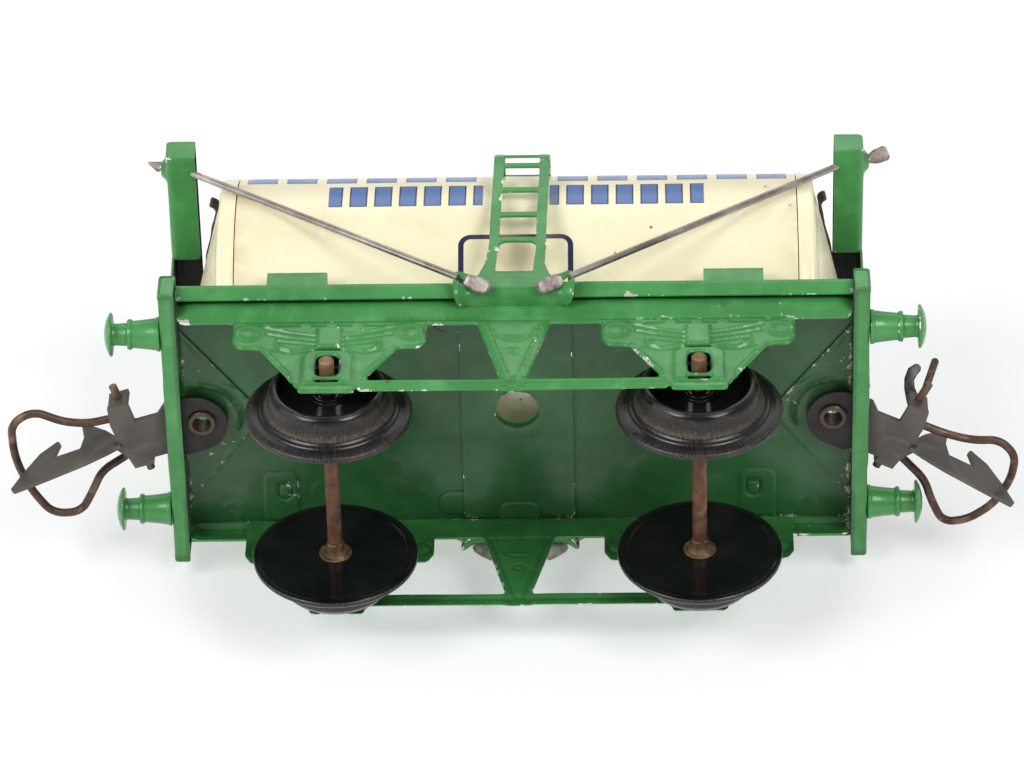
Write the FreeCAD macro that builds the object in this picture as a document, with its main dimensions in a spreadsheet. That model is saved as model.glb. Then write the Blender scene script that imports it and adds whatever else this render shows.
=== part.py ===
"""Model tank wagon for 32 mm track: four wheels, pressed tinplate frame, cylindrical tank.

Frame: +X along the wagon, +Y across it, +Z up. The origin is midway between the axles, on the
centre line, at the height of the lowest point of the wheel flanges. "left" is -X, "right" is +X,
"front" is -Y and "rear" is +Y. Lengths are millimetres.
"""
import FreeCAD, Part
import math
import os

import Sketcher

Vector = FreeCAD.Vector
Rotation = FreeCAD.Rotation
Placement = FreeCAD.Placement

X_AXIS = Vector(1, 0, 0)
Y_AXIS = Vector(0, 1, 0)
Z_AXIS = Vector(0, 0, 1)
ENDS = {"left": -1, "right": 1}
SIDES = {"front": -1, "rear": 1}

# ---------------------------------------------------------------- driving dimensions
SIZES = [
    # pressed sheet and deck
    ("sheet_thick", 0.4), ("press_thick", 0.5), ("deck_top", 35.2), ("deck_half_length", 56.2),
    ("deck_half_width", 26.1), ("deck_edge_depth", 3.8), ("centre_hole_radius", 3.75),
    ("centre_hole_offset", 0.5),
    # tray whose sides are the solebars
    ("tray_half_length", 56.0), ("tray_half_width", 23.0), ("tray_foot", 28.3),
    ("tray_floor", 33.7), ("strap_half_width", 9.4), ("strap_thick", 0.3),
    ("gusset_half_width", 17.7), ("gusset_apex", 44.0),
    # headstocks
    ("headstock_face", 59.0), ("headstock_depth", 2.8), ("headstock_half_width", 27.65),
    ("headstock_foot", 29.0), ("slot_half_width", 9.0), ("slot_low", 31.0), ("slot_high", 32.8),
    # axle guards, V hanger and tie bar
    ("guard_plane", 22.1), ("guard_centre", 30.4), ("guard_foot", 8.3), ("guard_foot_half", 4.4),
    ("guard_knee", 10.1), ("guard_waist", 11.6), ("guard_shoulder", 22.2), ("guard_half", 16.0),
    ("guard_ear", 22.4), ("hanger_half_top", 5.75), ("hanger_half_tip", 1.55),
    ("hanger_tip", 12.0), ("tie_low", 9.5), ("tie_high", 12.4),
    ("axle_slot_half", 1.9), ("axle_slot_low", 12.1), ("axle_slot_high", 18.4),
    # wheels and axles
    ("axle_height", 13.75), ("axle_radius", 1.25), ("axle_half_length", 25.6),
    ("wheel_back", 14.3), ("flange_radius", 13.75), ("flange_thick", 1.3), ("flange_root", 11.3),
    ("tread_root", 10.3), ("tread_edge", 9.8), ("tread_end", 4.9),
    ("lip_outer", 8.9), ("lip_inner", 8.1), ("lip_end", 6.0), ("dish_depth", 2.0),
    ("hub_radius", 2.8), ("hub_end", 5.0),
    ("collar_flange", 2.75), ("collar_sleeve", 1.65), ("collar_length", 2.5),
    # buffers
    ("buffer_height", 31.7), ("buffer_offset", 18.2), ("buffer_root", 3.0),
    ("buffer_neck", 2.3), ("buffer_barrel", 4.7), ("buffer_ring", 2.65), ("buffer_shank", 1.9),
    ("buffer_ring_end", 5.6), ("buffer_head_start", 7.85), ("buffer_head", 3.75),
    ("buffer_length", 9.35),
    # couplings
    ("pivot_x", 53.0), ("eyelet_flange", 2.4), ("eyelet_barrel", 1.95), ("eyelet_hole", 1.6),
    ("drawbar_play", 0.08), ("drawbar_low", 31.5), ("drawbar_thick", 0.8),
    ("drawbar_disc", 5.55), ("drawbar_disc_centre", 1.3), ("blade_thick", 0.8),
    ("ear_height", 3.6), ("ear_hole_out", 12.3), ("ear_hole_up", 34.1), ("wire_radius", 0.7),
    ("wire_play", 0.05), ("loop_droop", 5.8), ("swing_left", 18.0), ("swing_right", 27.0),
    # tank
    ("tank_radius", 23.9), ("tank_height", 61.7), ("tank_seam", 47.5), ("tank_skirt_end", 51.3),
    ("dome_radius", 83.4), ("dome_apex", 54.8), ("strap_low", 70.5), ("strap_high", 73.0),
    ("strap_half_length", 17.0), ("saddle_near", 31.5), ("saddle_far", 41.5),
    ("saddle_half_width", 21.6), ("saddle_top", 44.0), ("filler_radius", 6.5),
    ("filler_flange", 8.0), ("filler_height", 5.0),
    # end frames and stays
    ("end_face", 59.2), ("end_depth", 5.0), ("post_half_width", 6.7), ("beam_half_width", 27.6),
    ("beam_low", 70.0), ("beam_high", 75.2), ("boss_offset", 23.8), ("boss_height", 72.6),
    ("boss_root", 2.5), ("boss_tip", 1.3), ("boss_length", 1.1), ("stay_radius", 0.65),
    ("stay_hole", 1.0), ("notch_depth", 1.7), ("notch_half_width", 0.9), ("foot_depth", 4.0),
    ("lug_x", 9.4), ("lug_y", 28.2), ("lug_height", 32.6), ("lug_radius", 2.5),
    ("stay_inner_x", 4.2),
    # ladders
    ("plate_half_width", 9.6), ("plate_low", 31.0), ("plate_high", 36.4),
    ("ladder_half_width", 4.95), ("ladder_inner", 3.05), ("ladder_bend", 69.0),
    ("ladder_bend_radius", 9.0), ("ladder_top_y", 8.5), ("rung_pitch", 7.4),
    ("rung_thick", 1.3), ("arch_low", 37.7), ("arch_high", 45.9), ("first_rung", 46.6),
    ("last_window_angle", 53.1),
]

doc = FreeCAD.newDocument("tank_wagon")
sheet = doc.addObject("Spreadsheet::Sheet", "sizes")
for row, (alias, number) in enumerate(SIZES, start=1):
    sheet.set(f"A{row}", alias)
    sheet.set(f"B{row}", str(number))
    sheet.setAlias(f"B{row}", alias)
doc.recompute()

parts = []


# ---------------------------------------------------------------- sums of cells
def size(words):
    """Value of a sum of products of cells and numbers, such as 'a + 2 * b'."""
    total = 0.0
    for term in words.replace(" - ", " + -").split(" + "):
        product = 1.0
        for factor in term.split(" * "):
            name = factor.lstrip("-")
            value = float(name) if name[0].isdigit() else sheet.get(name)
            product *= -value if factor.startswith("-") else value
        total += product
    return total


def formula(words):
    """The same sum as an expression on the spreadsheet."""
    cells = []
    for word in words.split():
        name = word.lstrip("-")
        sign = word[:len(word) - len(name)]
        cells.append(sign + "sizes." + name if name[:1].isalpha() else word)
    return " ".join(cells)


def bind(thing, **sums):
    """Bind properties of an object to sums of cells."""
    for name, words in sums.items():
        thing.setExpression(name, formula(words))


def put(thing, x="0", y="0", z="0", turn=Rotation()):
    """Place an object at sums of cells along X, Y and Z, with a rotation."""
    thing.Placement = Placement(Vector(size(x), size(y), size(z)), turn)
    for axis, words in (("x", x), ("y", y), ("z", z)):
        thing.setExpression("Placement.Base." + axis, formula(words))
    return thing


def flip(words):
    """The sum as it reads after a minus sign."""
    return words.replace(" - ", " ~ ").replace(" + ", " - ").replace(" ~ ", " + ")


def signed(sign, words):
    """A sum of cells, or its negative where sign is -1."""
    return words if sign > 0 else "0 - " + flip(words)


def keep(thing, label):
    """Name an object as one of the wagon's pieces."""
    thing.Label = label
    parts.append(thing)
    return thing


# ---------------------------------------------------------------- sketched bodies
def new_body(label):
    return keep(doc.addObject("PartDesign::Body", label), label)


def new_sketch(body, role):
    """A sketch on one of the body's own origin planes."""
    sketch = body.newObject("Sketcher::SketchObject", "outline")
    plane = next(f for f in body.Origin.OriginFeatures if f.Role == role)
    sketch.AttachmentSupport = (plane, [""])
    sketch.MapMode = "FlatFace"
    return sketch


def tie(sketch, direction, edge, point, words):
    """Hold one coordinate of a sketch point at a sum of cells."""
    value = size(words)
    if abs(value) < 1e-9:
        axis = -2 if direction == "DistanceX" else -1
        sketch.addConstraint(Sketcher.Constraint("PointOnObject", edge, point, axis))
    elif value > 0:
        held = Sketcher.Constraint(direction, -1, 1, edge, point, value)
        sketch.setExpression(f"Constraints[{sketch.addConstraint(held)}]", formula(words))
    else:
        held = Sketcher.Constraint(direction, edge, point, -1, 1, -value)
        sketch.setExpression(f"Constraints[{sketch.addConstraint(held)}]", f"-({formula(words)})")


def outline(sketch, corners):
    """A closed run of straight edges, each corner held at sums of cells."""
    places = [Vector(size(across), size(along), 0) for across, along in corners]
    first = sketch.GeometryCount
    for number, place in enumerate(places):
        after = places[(number + 1) % len(places)]
        sketch.addGeometry(Part.LineSegment(place, after), False)
    for number, (across, along) in enumerate(corners):
        follower = first + (number + 1) % len(corners)
        sketch.addConstraint(Sketcher.Constraint("Coincident", first + number, 2, follower, 1))
        tie(sketch, "DistanceX", first + number, 1, across)
        tie(sketch, "DistanceY", first + number, 1, along)


def circle(sketch, across, along, radius):
    centre = Vector(size(across), size(along), 0)
    edge = sketch.addGeometry(Part.Circle(centre, Vector(0, 0, 1), size(radius)), False)
    tie(sketch, "DistanceX", edge, 3, across)
    tie(sketch, "DistanceY", edge, 3, along)
    held = sketch.addConstraint(Sketcher.Constraint("Radius", edge, size(radius)))
    sketch.setExpression(f"Constraints[{held}]", formula(radius))


def pad(body, sketch, length, middle=False, back=False):
    feature = body.newObject("PartDesign::Pad", "pad")
    feature.Profile = sketch
    feature.Midplane = middle
    feature.Reversed = back
    feature.Length = size(length)
    bind(feature, Length=length)
    sketch.Visibility = False
    return feature


def pocket_through(body, sketch):
    feature = body.newObject("PartDesign::Pocket", "pocket")
    feature.Profile = sketch
    feature.Type = "ThroughAll"
    feature.Midplane = True
    sketch.Visibility = False
    return feature


def turned(label, corners):
    """A turned piece: corners are (distance along the axis, radius)."""
    body = new_body(label)
    sketch = new_sketch(body, "XY_Plane")
    outline(sketch, corners)
    feature = body.newObject("PartDesign::Revolution", "turning")
    feature.Profile = sketch
    feature.ReferenceAxis = (sketch, ["H_Axis"])
    feature.Angle = 360
    sketch.Visibility = False
    return body


# ---------------------------------------------------------------- primitives
def box(x0, x1, y0, y1, z0, z1):
    """A box between sums of cells along each axis."""
    block = doc.addObject("Part::Box", "block")
    bind(block, Length=x1 + " - " + flip(x0), Width=y1 + " - " + flip(y0),
         Height=z1 + " - " + flip(z0))
    return put(block, x0, y0, z0)


def rod(radius, length, x="0", y="0", z="0", along=X_AXIS):
    """A cylinder from a point, along an axis."""
    cylinder = doc.addObject("Part::Cylinder", "rod")
    bind(cylinder, Radius=radius, Height=length)
    return put(cylinder, x, y, z, Rotation(Z_AXIS, along))


def ball(radius, x="0", y="0", z="0"):
    sphere = doc.addObject("Part::Sphere", "ball")
    bind(sphere, Radius=radius)
    return put(sphere, x, y, z)


def cut(base, tool):
    result = doc.addObject("Part::Cut", "cut")
    result.Base = base
    result.Tool = tool
    return result


def common(base, tool):
    result = doc.addObject("Part::Common", "common")
    result.Base = base
    result.Tool = tool
    return result


def fuse(*pieces):
    result = doc.addObject("Part::MultiFuse", "fuse")
    result.Shapes = list(pieces)
    result.Refine = True
    return result


# ---------------------------------------------------------------- bent wire
def rounded_path(points, share=0.45):
    """Straight runs joined by tangent arcs, each as large as its two runs allow."""
    edges = []
    start = points[0]
    for before, corner, after in zip(points, points[1:], points[2:]):
        back = (before - corner).normalize()
        ahead = (after - corner).normalize()
        reach = share * min((before - corner).Length, (after - corner).Length)
        half_turn = (math.pi - back.getAngle(ahead)) / 2
        radius = reach / math.tan(half_turn)
        middle = (back + ahead).normalize()
        bend_in = corner + back * reach
        bend_out = corner + ahead * reach
        depth = radius / math.cos(half_turn) - radius
        edges.append(Part.LineSegment(start, bend_in).toShape())
        edges.append(Part.Arc(bend_in, corner + middle * depth, bend_out).toShape())
        start = bend_out
    edges.append(Part.LineSegment(start, points[-1]).toShape())
    return Part.Wire(edges)


def bent_wire(points, radius):
    """A round wire that follows the points."""
    path = rounded_path(points)
    section = Part.Wire(Part.makeCircle(radius, points[0], points[1] - points[0]))
    return path.makePipeShell([section], True, False)


def shaped(label, shape):
    """A piece whose shape is made by Part's own functions."""
    feature = doc.addObject("Part::Feature", label)
    feature.Shape = shape
    return keep(feature, label)


# ---------------------------------------------------------------- underframe
def make_deck_plate():
    """Floor sheet with its long edges folded down, and three holes."""
    outer = box("0 - deck_half_length", "deck_half_length", "0 - deck_half_width",
                "deck_half_width", "deck_top - deck_edge_depth", "deck_top")
    inner = box("0 - deck_half_length - 1", "deck_half_length + 1",
                "sheet_thick - deck_half_width", "deck_half_width - sheet_thick",
                "deck_top - deck_edge_depth - 1", "deck_top - sheet_thick")
    plate = cut(outer, inner)
    plate = cut(plate, rod("centre_hole_radius", "4", "0", "0 - centre_hole_offset",
                           "deck_top - 2", Z_AXIS))
    for sign in ENDS.values():
        hole = rod("eyelet_barrel", "4", signed(sign, "pivot_x"), "0", "deck_top - 2", Z_AXIS)
        plate = cut(plate, hole)
    keep(plate, "deck_plate")


def make_tray_floor():
    """Floor of the tray, hanging just under the deck between the solebars."""
    body = new_body("tray_floor")
    wall = "tray_half_width - sheet_thick"
    sketch = new_sketch(body, "XY_Plane")
    outline(sketch, [("tray_half_length", wall), (signed(-1, "tray_half_length"), wall),
                     (signed(-1, "tray_half_length"), signed(-1, wall)),
                     ("tray_half_length", signed(-1, wall))])
    circle(sketch, "0", "0 - centre_hole_offset", "centre_hole_radius")
    for sign in ENDS.values():
        circle(sketch, signed(sign, "pivot_x"), "0", "eyelet_barrel")
    pad(body, sketch, "sheet_thick")
    put(body, z="tray_floor")


def make_solebar(side, sign):
    """Upright side of the tray, from the deck's underside to its foot."""
    outer, inner = "tray_half_width", "tray_half_width - sheet_thick"
    across = {1: (inner, outer), -1: (signed(-1, outer), signed(-1, inner))}[sign]
    bar = box(signed(-1, "tray_half_length"), "tray_half_length", *across,
              "tray_foot", "deck_top - sheet_thick")
    keep(bar, "solebar_" + side)


def make_cross_strap():
    """Plate across the middle of the tray's floor."""
    plate = box("0 - strap_half_width", "strap_half_width", "0 - guard_plane", "guard_plane",
                "tray_floor - strap_thick", "tray_floor")
    hole = rod("centre_hole_radius", "4", "0", "0 - centre_hole_offset", "tray_floor - 2", Z_AXIS)
    keep(cut(plate, hole), "cross_strap")


def make_gusset(end, sign):
    """Triangular plate over the tray's floor round the drawbar's pivot."""
    body = new_body("gusset_" + end)
    sketch = new_sketch(body, "XY_Plane")
    outline(sketch, [(signed(sign, "tray_half_length"), "0 - gusset_half_width"),
                     (signed(sign, "tray_half_length"), "gusset_half_width"),
                     (signed(sign, "gusset_apex"), "2"), (signed(sign, "gusset_apex"), "0 - 2")])
    circle(sketch, signed(sign, "pivot_x"), "0", "eyelet_barrel")
    pad(body, sketch, "strap_thick")
    put(body, z="tray_floor - strap_thick")


def make_headstock(end, sign):
    """Folded end beam, open behind, with the slot that the drawbar swings in."""
    near, far = "headstock_face - headstock_depth", "headstock_face"
    web = "headstock_face - sheet_thick"
    spans = {1: [(near, far), (near + " - 1", web), (web + " - 1", far + " + 1")],
             -1: [(signed(-1, far), signed(-1, near)), (signed(-1, web), signed(-1, near) + " + 1"),
                  (signed(-1, far) + " - 1", signed(-1, web) + " + 1")]}[sign]
    outer = box(*spans[0], "0 - headstock_half_width", "headstock_half_width",
                "headstock_foot", "deck_top")
    inner = box(*spans[1], "sheet_thick - headstock_half_width",
                "headstock_half_width - sheet_thick", "headstock_foot + sheet_thick",
                "deck_top - sheet_thick")
    slot = box(*spans[2], "0 - slot_half_width", "slot_half_width", "slot_low", "slot_high")
    keep(cut(cut(outer, inner), slot), "headstock_" + end)


def make_side_frame(side, sign):
    """One pressing: two axle guards, a V hanger, a tie bar and the flange on the solebar."""
    body = new_body("side_frame_" + side)

    def plate(corners):
        sketch = new_sketch(body, "XZ_Plane")
        outline(sketch, corners)
        pad(body, sketch, "press_thick", back=True)

    reach = "guard_centre + guard_half"
    plate([(signed(-1, reach), "tray_foot"), (reach, "tray_foot"), (reach, "tray_floor"),
           (signed(-1, reach), "tray_floor")])
    plate([("0 - hanger_half_top", "tray_foot"), ("0 - hanger_half_tip", "hanger_tip"),
           ("hanger_half_tip", "hanger_tip"), ("hanger_half_top", "tray_foot")])
    for centre in ("guard_centre", "0 - guard_centre"):
        half = [("guard_foot_half", "guard_foot"), ("guard_foot_half", "guard_knee"),
                ("guard_waist", "guard_shoulder"), ("guard_waist + 1", "guard_ear"),
                ("guard_half - 1", "guard_ear"), ("guard_half", "guard_ear + 1"),
                ("guard_half", "tray_foot")]
        right = [(centre + " + " + across, up) for across, up in half]
        left = [(centre + " - " + flip(across), up) for across, up in reversed(half)]
        plate(right + left)
    plate([("0 - guard_centre", "tie_low"), ("guard_centre", "tie_low"),
           ("guard_centre", "tie_high"), ("0 - guard_centre", "tie_high")])
    for centre in ("guard_centre", "0 - guard_centre"):
        sketch = new_sketch(body, "XZ_Plane")
        outline(sketch, [(centre + " - axle_slot_half", "axle_slot_low + 1"),
                         (centre + " - axle_slot_half + 1", "axle_slot_low"),
                         (centre + " + axle_slot_half - 1", "axle_slot_low"),
                         (centre + " + axle_slot_half", "axle_slot_low + 1"),
                         (centre + " + axle_slot_half", "axle_slot_high"),
                         (centre + " - axle_slot_half", "axle_slot_high")])
        pocket_through(body, sketch)
    put(body, y=signed(sign, "guard_plane") + ("" if sign > 0 else " - press_thick"))


# ---------------------------------------------------------------- running gear
def make_axle(end, sign):
    pin = rod("axle_radius", "2 * axle_half_length", signed(sign, "guard_centre"),
              "0 - axle_half_length", "axle_height", Y_AXIS)
    keep(pin, "axle_" + end)


def make_wheel(end, x_sign, side, y_sign):
    """Flanged disc wheel with a dished face; its back is the flat side."""
    wheel = turned(f"wheel_{end}_{side}", [
        ("0", "axle_radius"), ("0", "flange_radius - 0.5"), ("0.3", "flange_radius"),
        ("flange_thick - 0.3", "flange_radius"), ("flange_thick + 0.2", "flange_root"),
        ("flange_thick + 1.1", "tread_root"), ("tread_end", "tread_edge"),
        ("lip_end - 0.4", "lip_outer + 0.2"), ("lip_end", "lip_outer - 0.2"),
        ("lip_end", "lip_inner"),
        ("dish_depth", "lip_inner - 0.8"), ("dish_depth", "hub_radius + 0.4"),
        ("hub_end", "hub_radius"), ("hub_end", "axle_radius")])
    put(wheel, signed(x_sign, "guard_centre"), signed(y_sign, "wheel_back"), "axle_height",
        Rotation(X_AXIS, Y_AXIS * y_sign))


def make_collar(end, x_sign, side, y_sign):
    """Bush behind the wheel: a thin flange and a sleeve on the axle."""
    collar = turned(f"wheel_collar_{end}_{side}", [
        ("0", "axle_radius"), ("0", "collar_flange"), ("0.5", "collar_flange"),
        ("0.7", "collar_sleeve"), ("collar_length", "collar_sleeve"),
        ("collar_length", "axle_radius")])
    put(collar, signed(x_sign, "guard_centre"), signed(y_sign, "wheel_back"), "axle_height",
        Rotation(X_AXIS, Y_AXIS * -y_sign))


def make_buffer(end, x_sign, side, y_sign):
    buffer = turned(f"buffer_{side}_{end}", [
        ("0", "0"), ("0", "buffer_root"), ("0.4", "buffer_root"), ("1", "buffer_root - 0.3"),
        ("buffer_barrel", "buffer_neck"), ("buffer_barrel", "buffer_ring"),
        ("buffer_ring_end", "buffer_ring"), ("buffer_ring_end", "buffer_shank"),
        ("buffer_head_start", "buffer_shank"), ("buffer_head_start", "buffer_head"),
        ("buffer_head_start + 0.5", "buffer_head"), ("buffer_length - 0.4", "buffer_head - 1.1"),
        ("buffer_length", "buffer_head - 2.6"), ("buffer_length", "0")])
    put(buffer, signed(x_sign, "headstock_face"), signed(y_sign, "buffer_offset"),
        "buffer_height", Rotation(X_AXIS, X_AXIS * x_sign))


# ---------------------------------------------------------------- couplings
def drawbar_turn(end):
    """Rotation of a drawbar about its eyelet, away from straight, towards the rear."""
    swing = sheet.get("swing_" + end)
    return Rotation(Z_AXIS, swing if end == "right" else 180 - swing)


def make_eyelet(end, sign):
    """Hollow rivet through the tray's floor and the gusset, on which the drawbar swings."""
    eyelet = turned("drawbar_eyelet_" + end, [
        ("0", "eyelet_hole"), ("0", "eyelet_flange - 0.2"), ("0.2", "eyelet_flange"),
        ("0.4", "eyelet_flange"), ("0.4", "eyelet_barrel"),
        ("tray_floor + sheet_thick - drawbar_low + 0.6", "eyelet_barrel"),
        ("tray_floor + sheet_thick - drawbar_low + 0.6", "eyelet_flange"),
        ("tray_floor + sheet_thick - drawbar_low + 0.9", "eyelet_flange"),
        ("tray_floor + sheet_thick - drawbar_low + 0.9", "eyelet_hole")])
    put(eyelet, signed(sign, "pivot_x"), "0", "drawbar_low - 0.6", Rotation(X_AXIS, Z_AXIS))


def make_drawbar(end, sign):
    """Flat drawbar with two ears for the loop and an upright hook blade beyond them.

    Its own frame: X out from the eyelet, Y across, Z up. The wide ear is on the wagon's front
    side at both ends, so the outline is mirrored between them.
    """
    body = new_body("drawbar_" + end)
    disc = new_sketch(body, "XY_Plane")
    circle(disc, "drawbar_disc_centre", "0", "drawbar_disc")
    pad(body, disc, "drawbar_thick")

    def across(words):
        return signed(sign, words)

    plate = new_sketch(body, "XY_Plane")
    outline(plate, [
        ("drawbar_disc_centre", across("0.02 - drawbar_disc")), ("4.8", across("0 - 5.5")),
        ("6.6", across("0 - 3.9")), ("10.6", across("0 - 3.9")), ("10.5", across("0 - 7.7")),
        ("14.1", across("0 - 7.7")), ("14.9", across("0 - 4.4")), ("14.9", across("0 - 1.6")),
        ("15.6", across("0 - 0.9")), ("15.6", across("0.9")), ("14.4", across("2.9")),
        ("14.1", across("5.4")), ("10.8", across("5.4")), ("10.7", across("4.2")),
        ("6", across("4.2")), ("4.8", across("5.5")),
        ("drawbar_disc_centre", across("drawbar_disc - 0.02"))])
    pad(body, plate, "drawbar_thick")

    for inner_face, outer_face in (("0 - 6.9", "0 - 7.7"), ("4.6", "5.4")):
        ear = new_sketch(body, "XY_Plane")
        outline(ear, [("ear_hole_out - 1.7", across(inner_face)),
                      ("ear_hole_out + 1.7", across(inner_face)),
                      ("ear_hole_out + 1.7", across(outer_face)),
                      ("ear_hole_out - 1.7", across(outer_face))])
        pad(body, ear, "ear_height + drawbar_thick")

    blade = new_sketch(body, "XZ_Plane")
    heights = [("14.6", "0 - 0.4"), ("17", "0 - 1.4"), ("21", "0 - 2.7"), ("29", "0 - 4.4"),
               ("33.6", "0 - 5.2"), ("34.1", "0 - 4.6"), ("32.2", "0 - 0.9"), ("29.4", "3.4"),
               ("26.4", "5.6"), ("25.9", "5"), ("26.9", "1.2"), ("22", "1.7"), ("21.5", "4.6"),
               ("22.1", "8"), ("21.1", "8.2"), ("17.6", "5"), ("14.6", "1.2")]
    outline(blade, heights)
    pad(body, blade, "blade_thick", middle=True)

    bore = new_sketch(body, "XY_Plane")
    circle(bore, "0", "0", "eyelet_barrel + drawbar_play")
    pocket_through(body, bore)
    wire_holes = new_sketch(body, "XZ_Plane")
    circle(wire_holes, "ear_hole_out", "ear_hole_up - drawbar_low", "wire_radius + wire_play")
    pocket_through(body, wire_holes)
    put(body, signed(sign, "pivot_x"), "0", "drawbar_low", drawbar_turn(end))


# Bends of each loop: distance out from the ears' holes, and across towards the wagon's rear.
LOOP_BENDS = {
    "left": [(0, -10.2), (0, -3.8), (6.6, -4.7), (10.3, -6.6), (14.2, -10.6), (18.6, -9.6),
             (20.6, -3.0), (20.5, 4.0), (18.9, 10.2), (14.3, 11.8), (11.0, 8.6), (8.0, 5.2),
             (3.4, 4.0), (0, 2.8), (0, 7.8)],
    "right": [(0, -11.4), (0, -3.4), (7.0, -3.9), (11.6, -5.0), (15.6, -7.4), (19.4, -6.0),
              (21.0, -1.5), (20.9, 4.6), (18.6, 9.6), (15.2, 12.2), (11.4, 9.2), (8.4, 6.0),
              (3.4, 4.1), (0, 2.8), (0, 7.6)],
}


def make_coupling_loop(end, sign):
    """Wire loop whose two ends turn outwards through the drawbar's ears."""
    bends = [Vector(out, sign * rearward, 0) for out, rearward in LOOP_BENDS[end]]
    loop = shaped("coupling_loop_" + end, bent_wire(bends, sheet.get("wire_radius")))
    droop = Rotation(Y_AXIS, sheet.get("loop_droop"))
    at_ears = Placement(Vector(sheet.get("ear_hole_out"), 0, 0), droop)
    at_eyelet = Vector(sign * sheet.get("pivot_x"), 0, sheet.get("ear_hole_up"))
    loop.Placement = Placement(at_eyelet, drawbar_turn(end)) * at_ears


# ---------------------------------------------------------------- tank
def make_tank_barrel():
    outer = rod("tank_radius", "2 * tank_seam", "0 - tank_seam", "0", "tank_height")
    inner = rod("tank_radius - sheet_thick", "2 * tank_seam + 2", "0 - tank_seam - 1", "0",
                "tank_height")
    keep(cut(outer, inner), "tank_barrel")


def dome(sign, offset):
    """A ball whose surface is the tank end's dome, moved outwards by an offset."""
    return ball("dome_radius + " + offset, signed(sign, "dome_apex - dome_radius"), "0",
                "tank_height")


def make_tank_end(end, sign):
    """Domed cap: a skirt in line with the barrel and a shallow dish."""
    start, stop = "tank_seam", "dome_apex - tank_seam"
    base = signed(sign, start)
    along = X_AXIS * sign
    outer = common(rod("tank_radius", stop, base, "0", "tank_height", along), dome(sign, "0"))
    inner = common(rod("tank_radius - sheet_thick", stop, base, "0", "tank_height", along),
                   dome(sign, "0 - sheet_thick"))
    keep(cut(outer, inner), "tank_end_" + end)


def make_tank_strap(end, sign):
    """Band across the domed end."""
    skin = cut(dome(sign, "sheet_thick"), dome(sign, "0"))
    reach = ("tank_skirt_end", "dome_apex + 2")
    if sign < 0:
        reach = (signed(-1, reach[1]), signed(-1, reach[0]))
    band = box(*reach, "0 - strap_half_length", "strap_half_length", "strap_low", "strap_high")
    keep(common(skin, band), "tank_strap_" + end)


def make_saddle(end, sign):
    """Pressed cradle under the tank, open below."""
    def block(inset):
        low, high = "saddle_near + " + inset, "saddle_far - " + inset
        if sign < 0:
            low, high = signed(-1, high), signed(-1, low)
        return box(low, high, "0 - saddle_half_width + " + inset, "saddle_half_width - " + inset,
                   "deck_top", "saddle_top")

    def barrel(gap):
        return rod("tank_radius + " + gap, "2 * tank_seam", "0 - tank_seam", "0", "tank_height")

    solid = cut(block("0"), barrel("0.05"))
    hollow = cut(block("press_thick"), barrel("press_thick + 0.05"))
    keep(cut(solid, hollow), "saddle_" + end)


def make_filler_cap():
    """Flange and domed lid on top of the barrel."""
    body = turned("filler_cap", [
        ("0 - 1.6", "filler_flange"), ("0.3", "filler_flange"), ("0.6", "filler_radius"),
        ("filler_height - 2", "filler_radius"), ("filler_height - 1.6", "filler_radius + 0.5"),
        ("filler_height - 1", "filler_radius + 0.5"), ("filler_height - 0.3", "filler_radius - 2"),
        ("filler_height", "1.5"), ("filler_height", "0"), ("0 - 1.6", "0")])
    barrel = new_sketch(body, "XZ_Plane")
    circle(barrel, "0 - tank_radius", "0", "tank_radius + 0.02")
    pocket_through(body, barrel)
    put(body, "0", "0", "tank_height + tank_radius",
        Rotation(Vector(0, 0, 1), Vector(1, 0, 0), Vector(0, 1, 0), "ZXY"))


# ---------------------------------------------------------------- end frames and stays
def make_end_frame(end, sign):
    """T-shaped pressing: flat web, and flanges round the beam that turn towards the tank."""
    def slab(x0, x1, *rest):
        if sign < 0:
            x0, x1 = signed(-1, x1), signed(-1, x0)
        return box(x0, x1, *rest)

    inner, web, face = "end_face - end_depth", "end_face - sheet_thick", "end_face"
    pieces = [slab(web, face, "0 - post_half_width", "post_half_width", "deck_top", "beam_high"),
              slab(web, face, "0 - beam_half_width", "beam_half_width", "beam_low", "beam_high"),
              slab(inner, face, "0 - beam_half_width", "beam_half_width",
                   "beam_high - sheet_thick", "beam_high"),
              slab("end_face - foot_depth", face, "0 - post_half_width", "post_half_width",
                   "deck_top", "deck_top + sheet_thick")]
    for low, high in (("0 - beam_half_width", "0 - post_half_width"),
                      ("post_half_width", "beam_half_width")):
        pieces.append(slab(inner, face, low, high, "beam_low", "beam_low + sheet_thick"))
    for low, high in (("0 - beam_half_width", "sheet_thick - beam_half_width"),
                      ("beam_half_width - sheet_thick", "beam_half_width")):
        pieces.append(slab(inner, face, low, high, "beam_low", "beam_high"))
    for y_sign in SIDES.values():
        boss = doc.addObject("Part::Cone", "boss")
        bind(boss, Radius1="boss_root", Radius2="boss_tip", Height="boss_length")
        put(boss, signed(sign, "end_face"), signed(y_sign, "boss_offset"), "boss_height",
            Rotation(Z_AXIS, X_AXIS * sign))
        pieces.append(boss)
    frame = fuse(*pieces)
    for y_sign in SIDES.values():
        hole = rod("stay_hole", "6", signed(sign, "end_face - 3"),
                   signed(y_sign, "boss_offset"), "boss_height", X_AXIS * sign)
        middle = signed(y_sign, "boss_offset")
        notch = slab(inner + " - 1", inner + " + notch_depth", middle + " - notch_half_width",
                     middle + " + notch_half_width", "beam_low - 1", "beam_low + 1")
        frame = cut(cut(frame, hole), notch)
    keep(frame, "end_frame_" + end)


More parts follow.
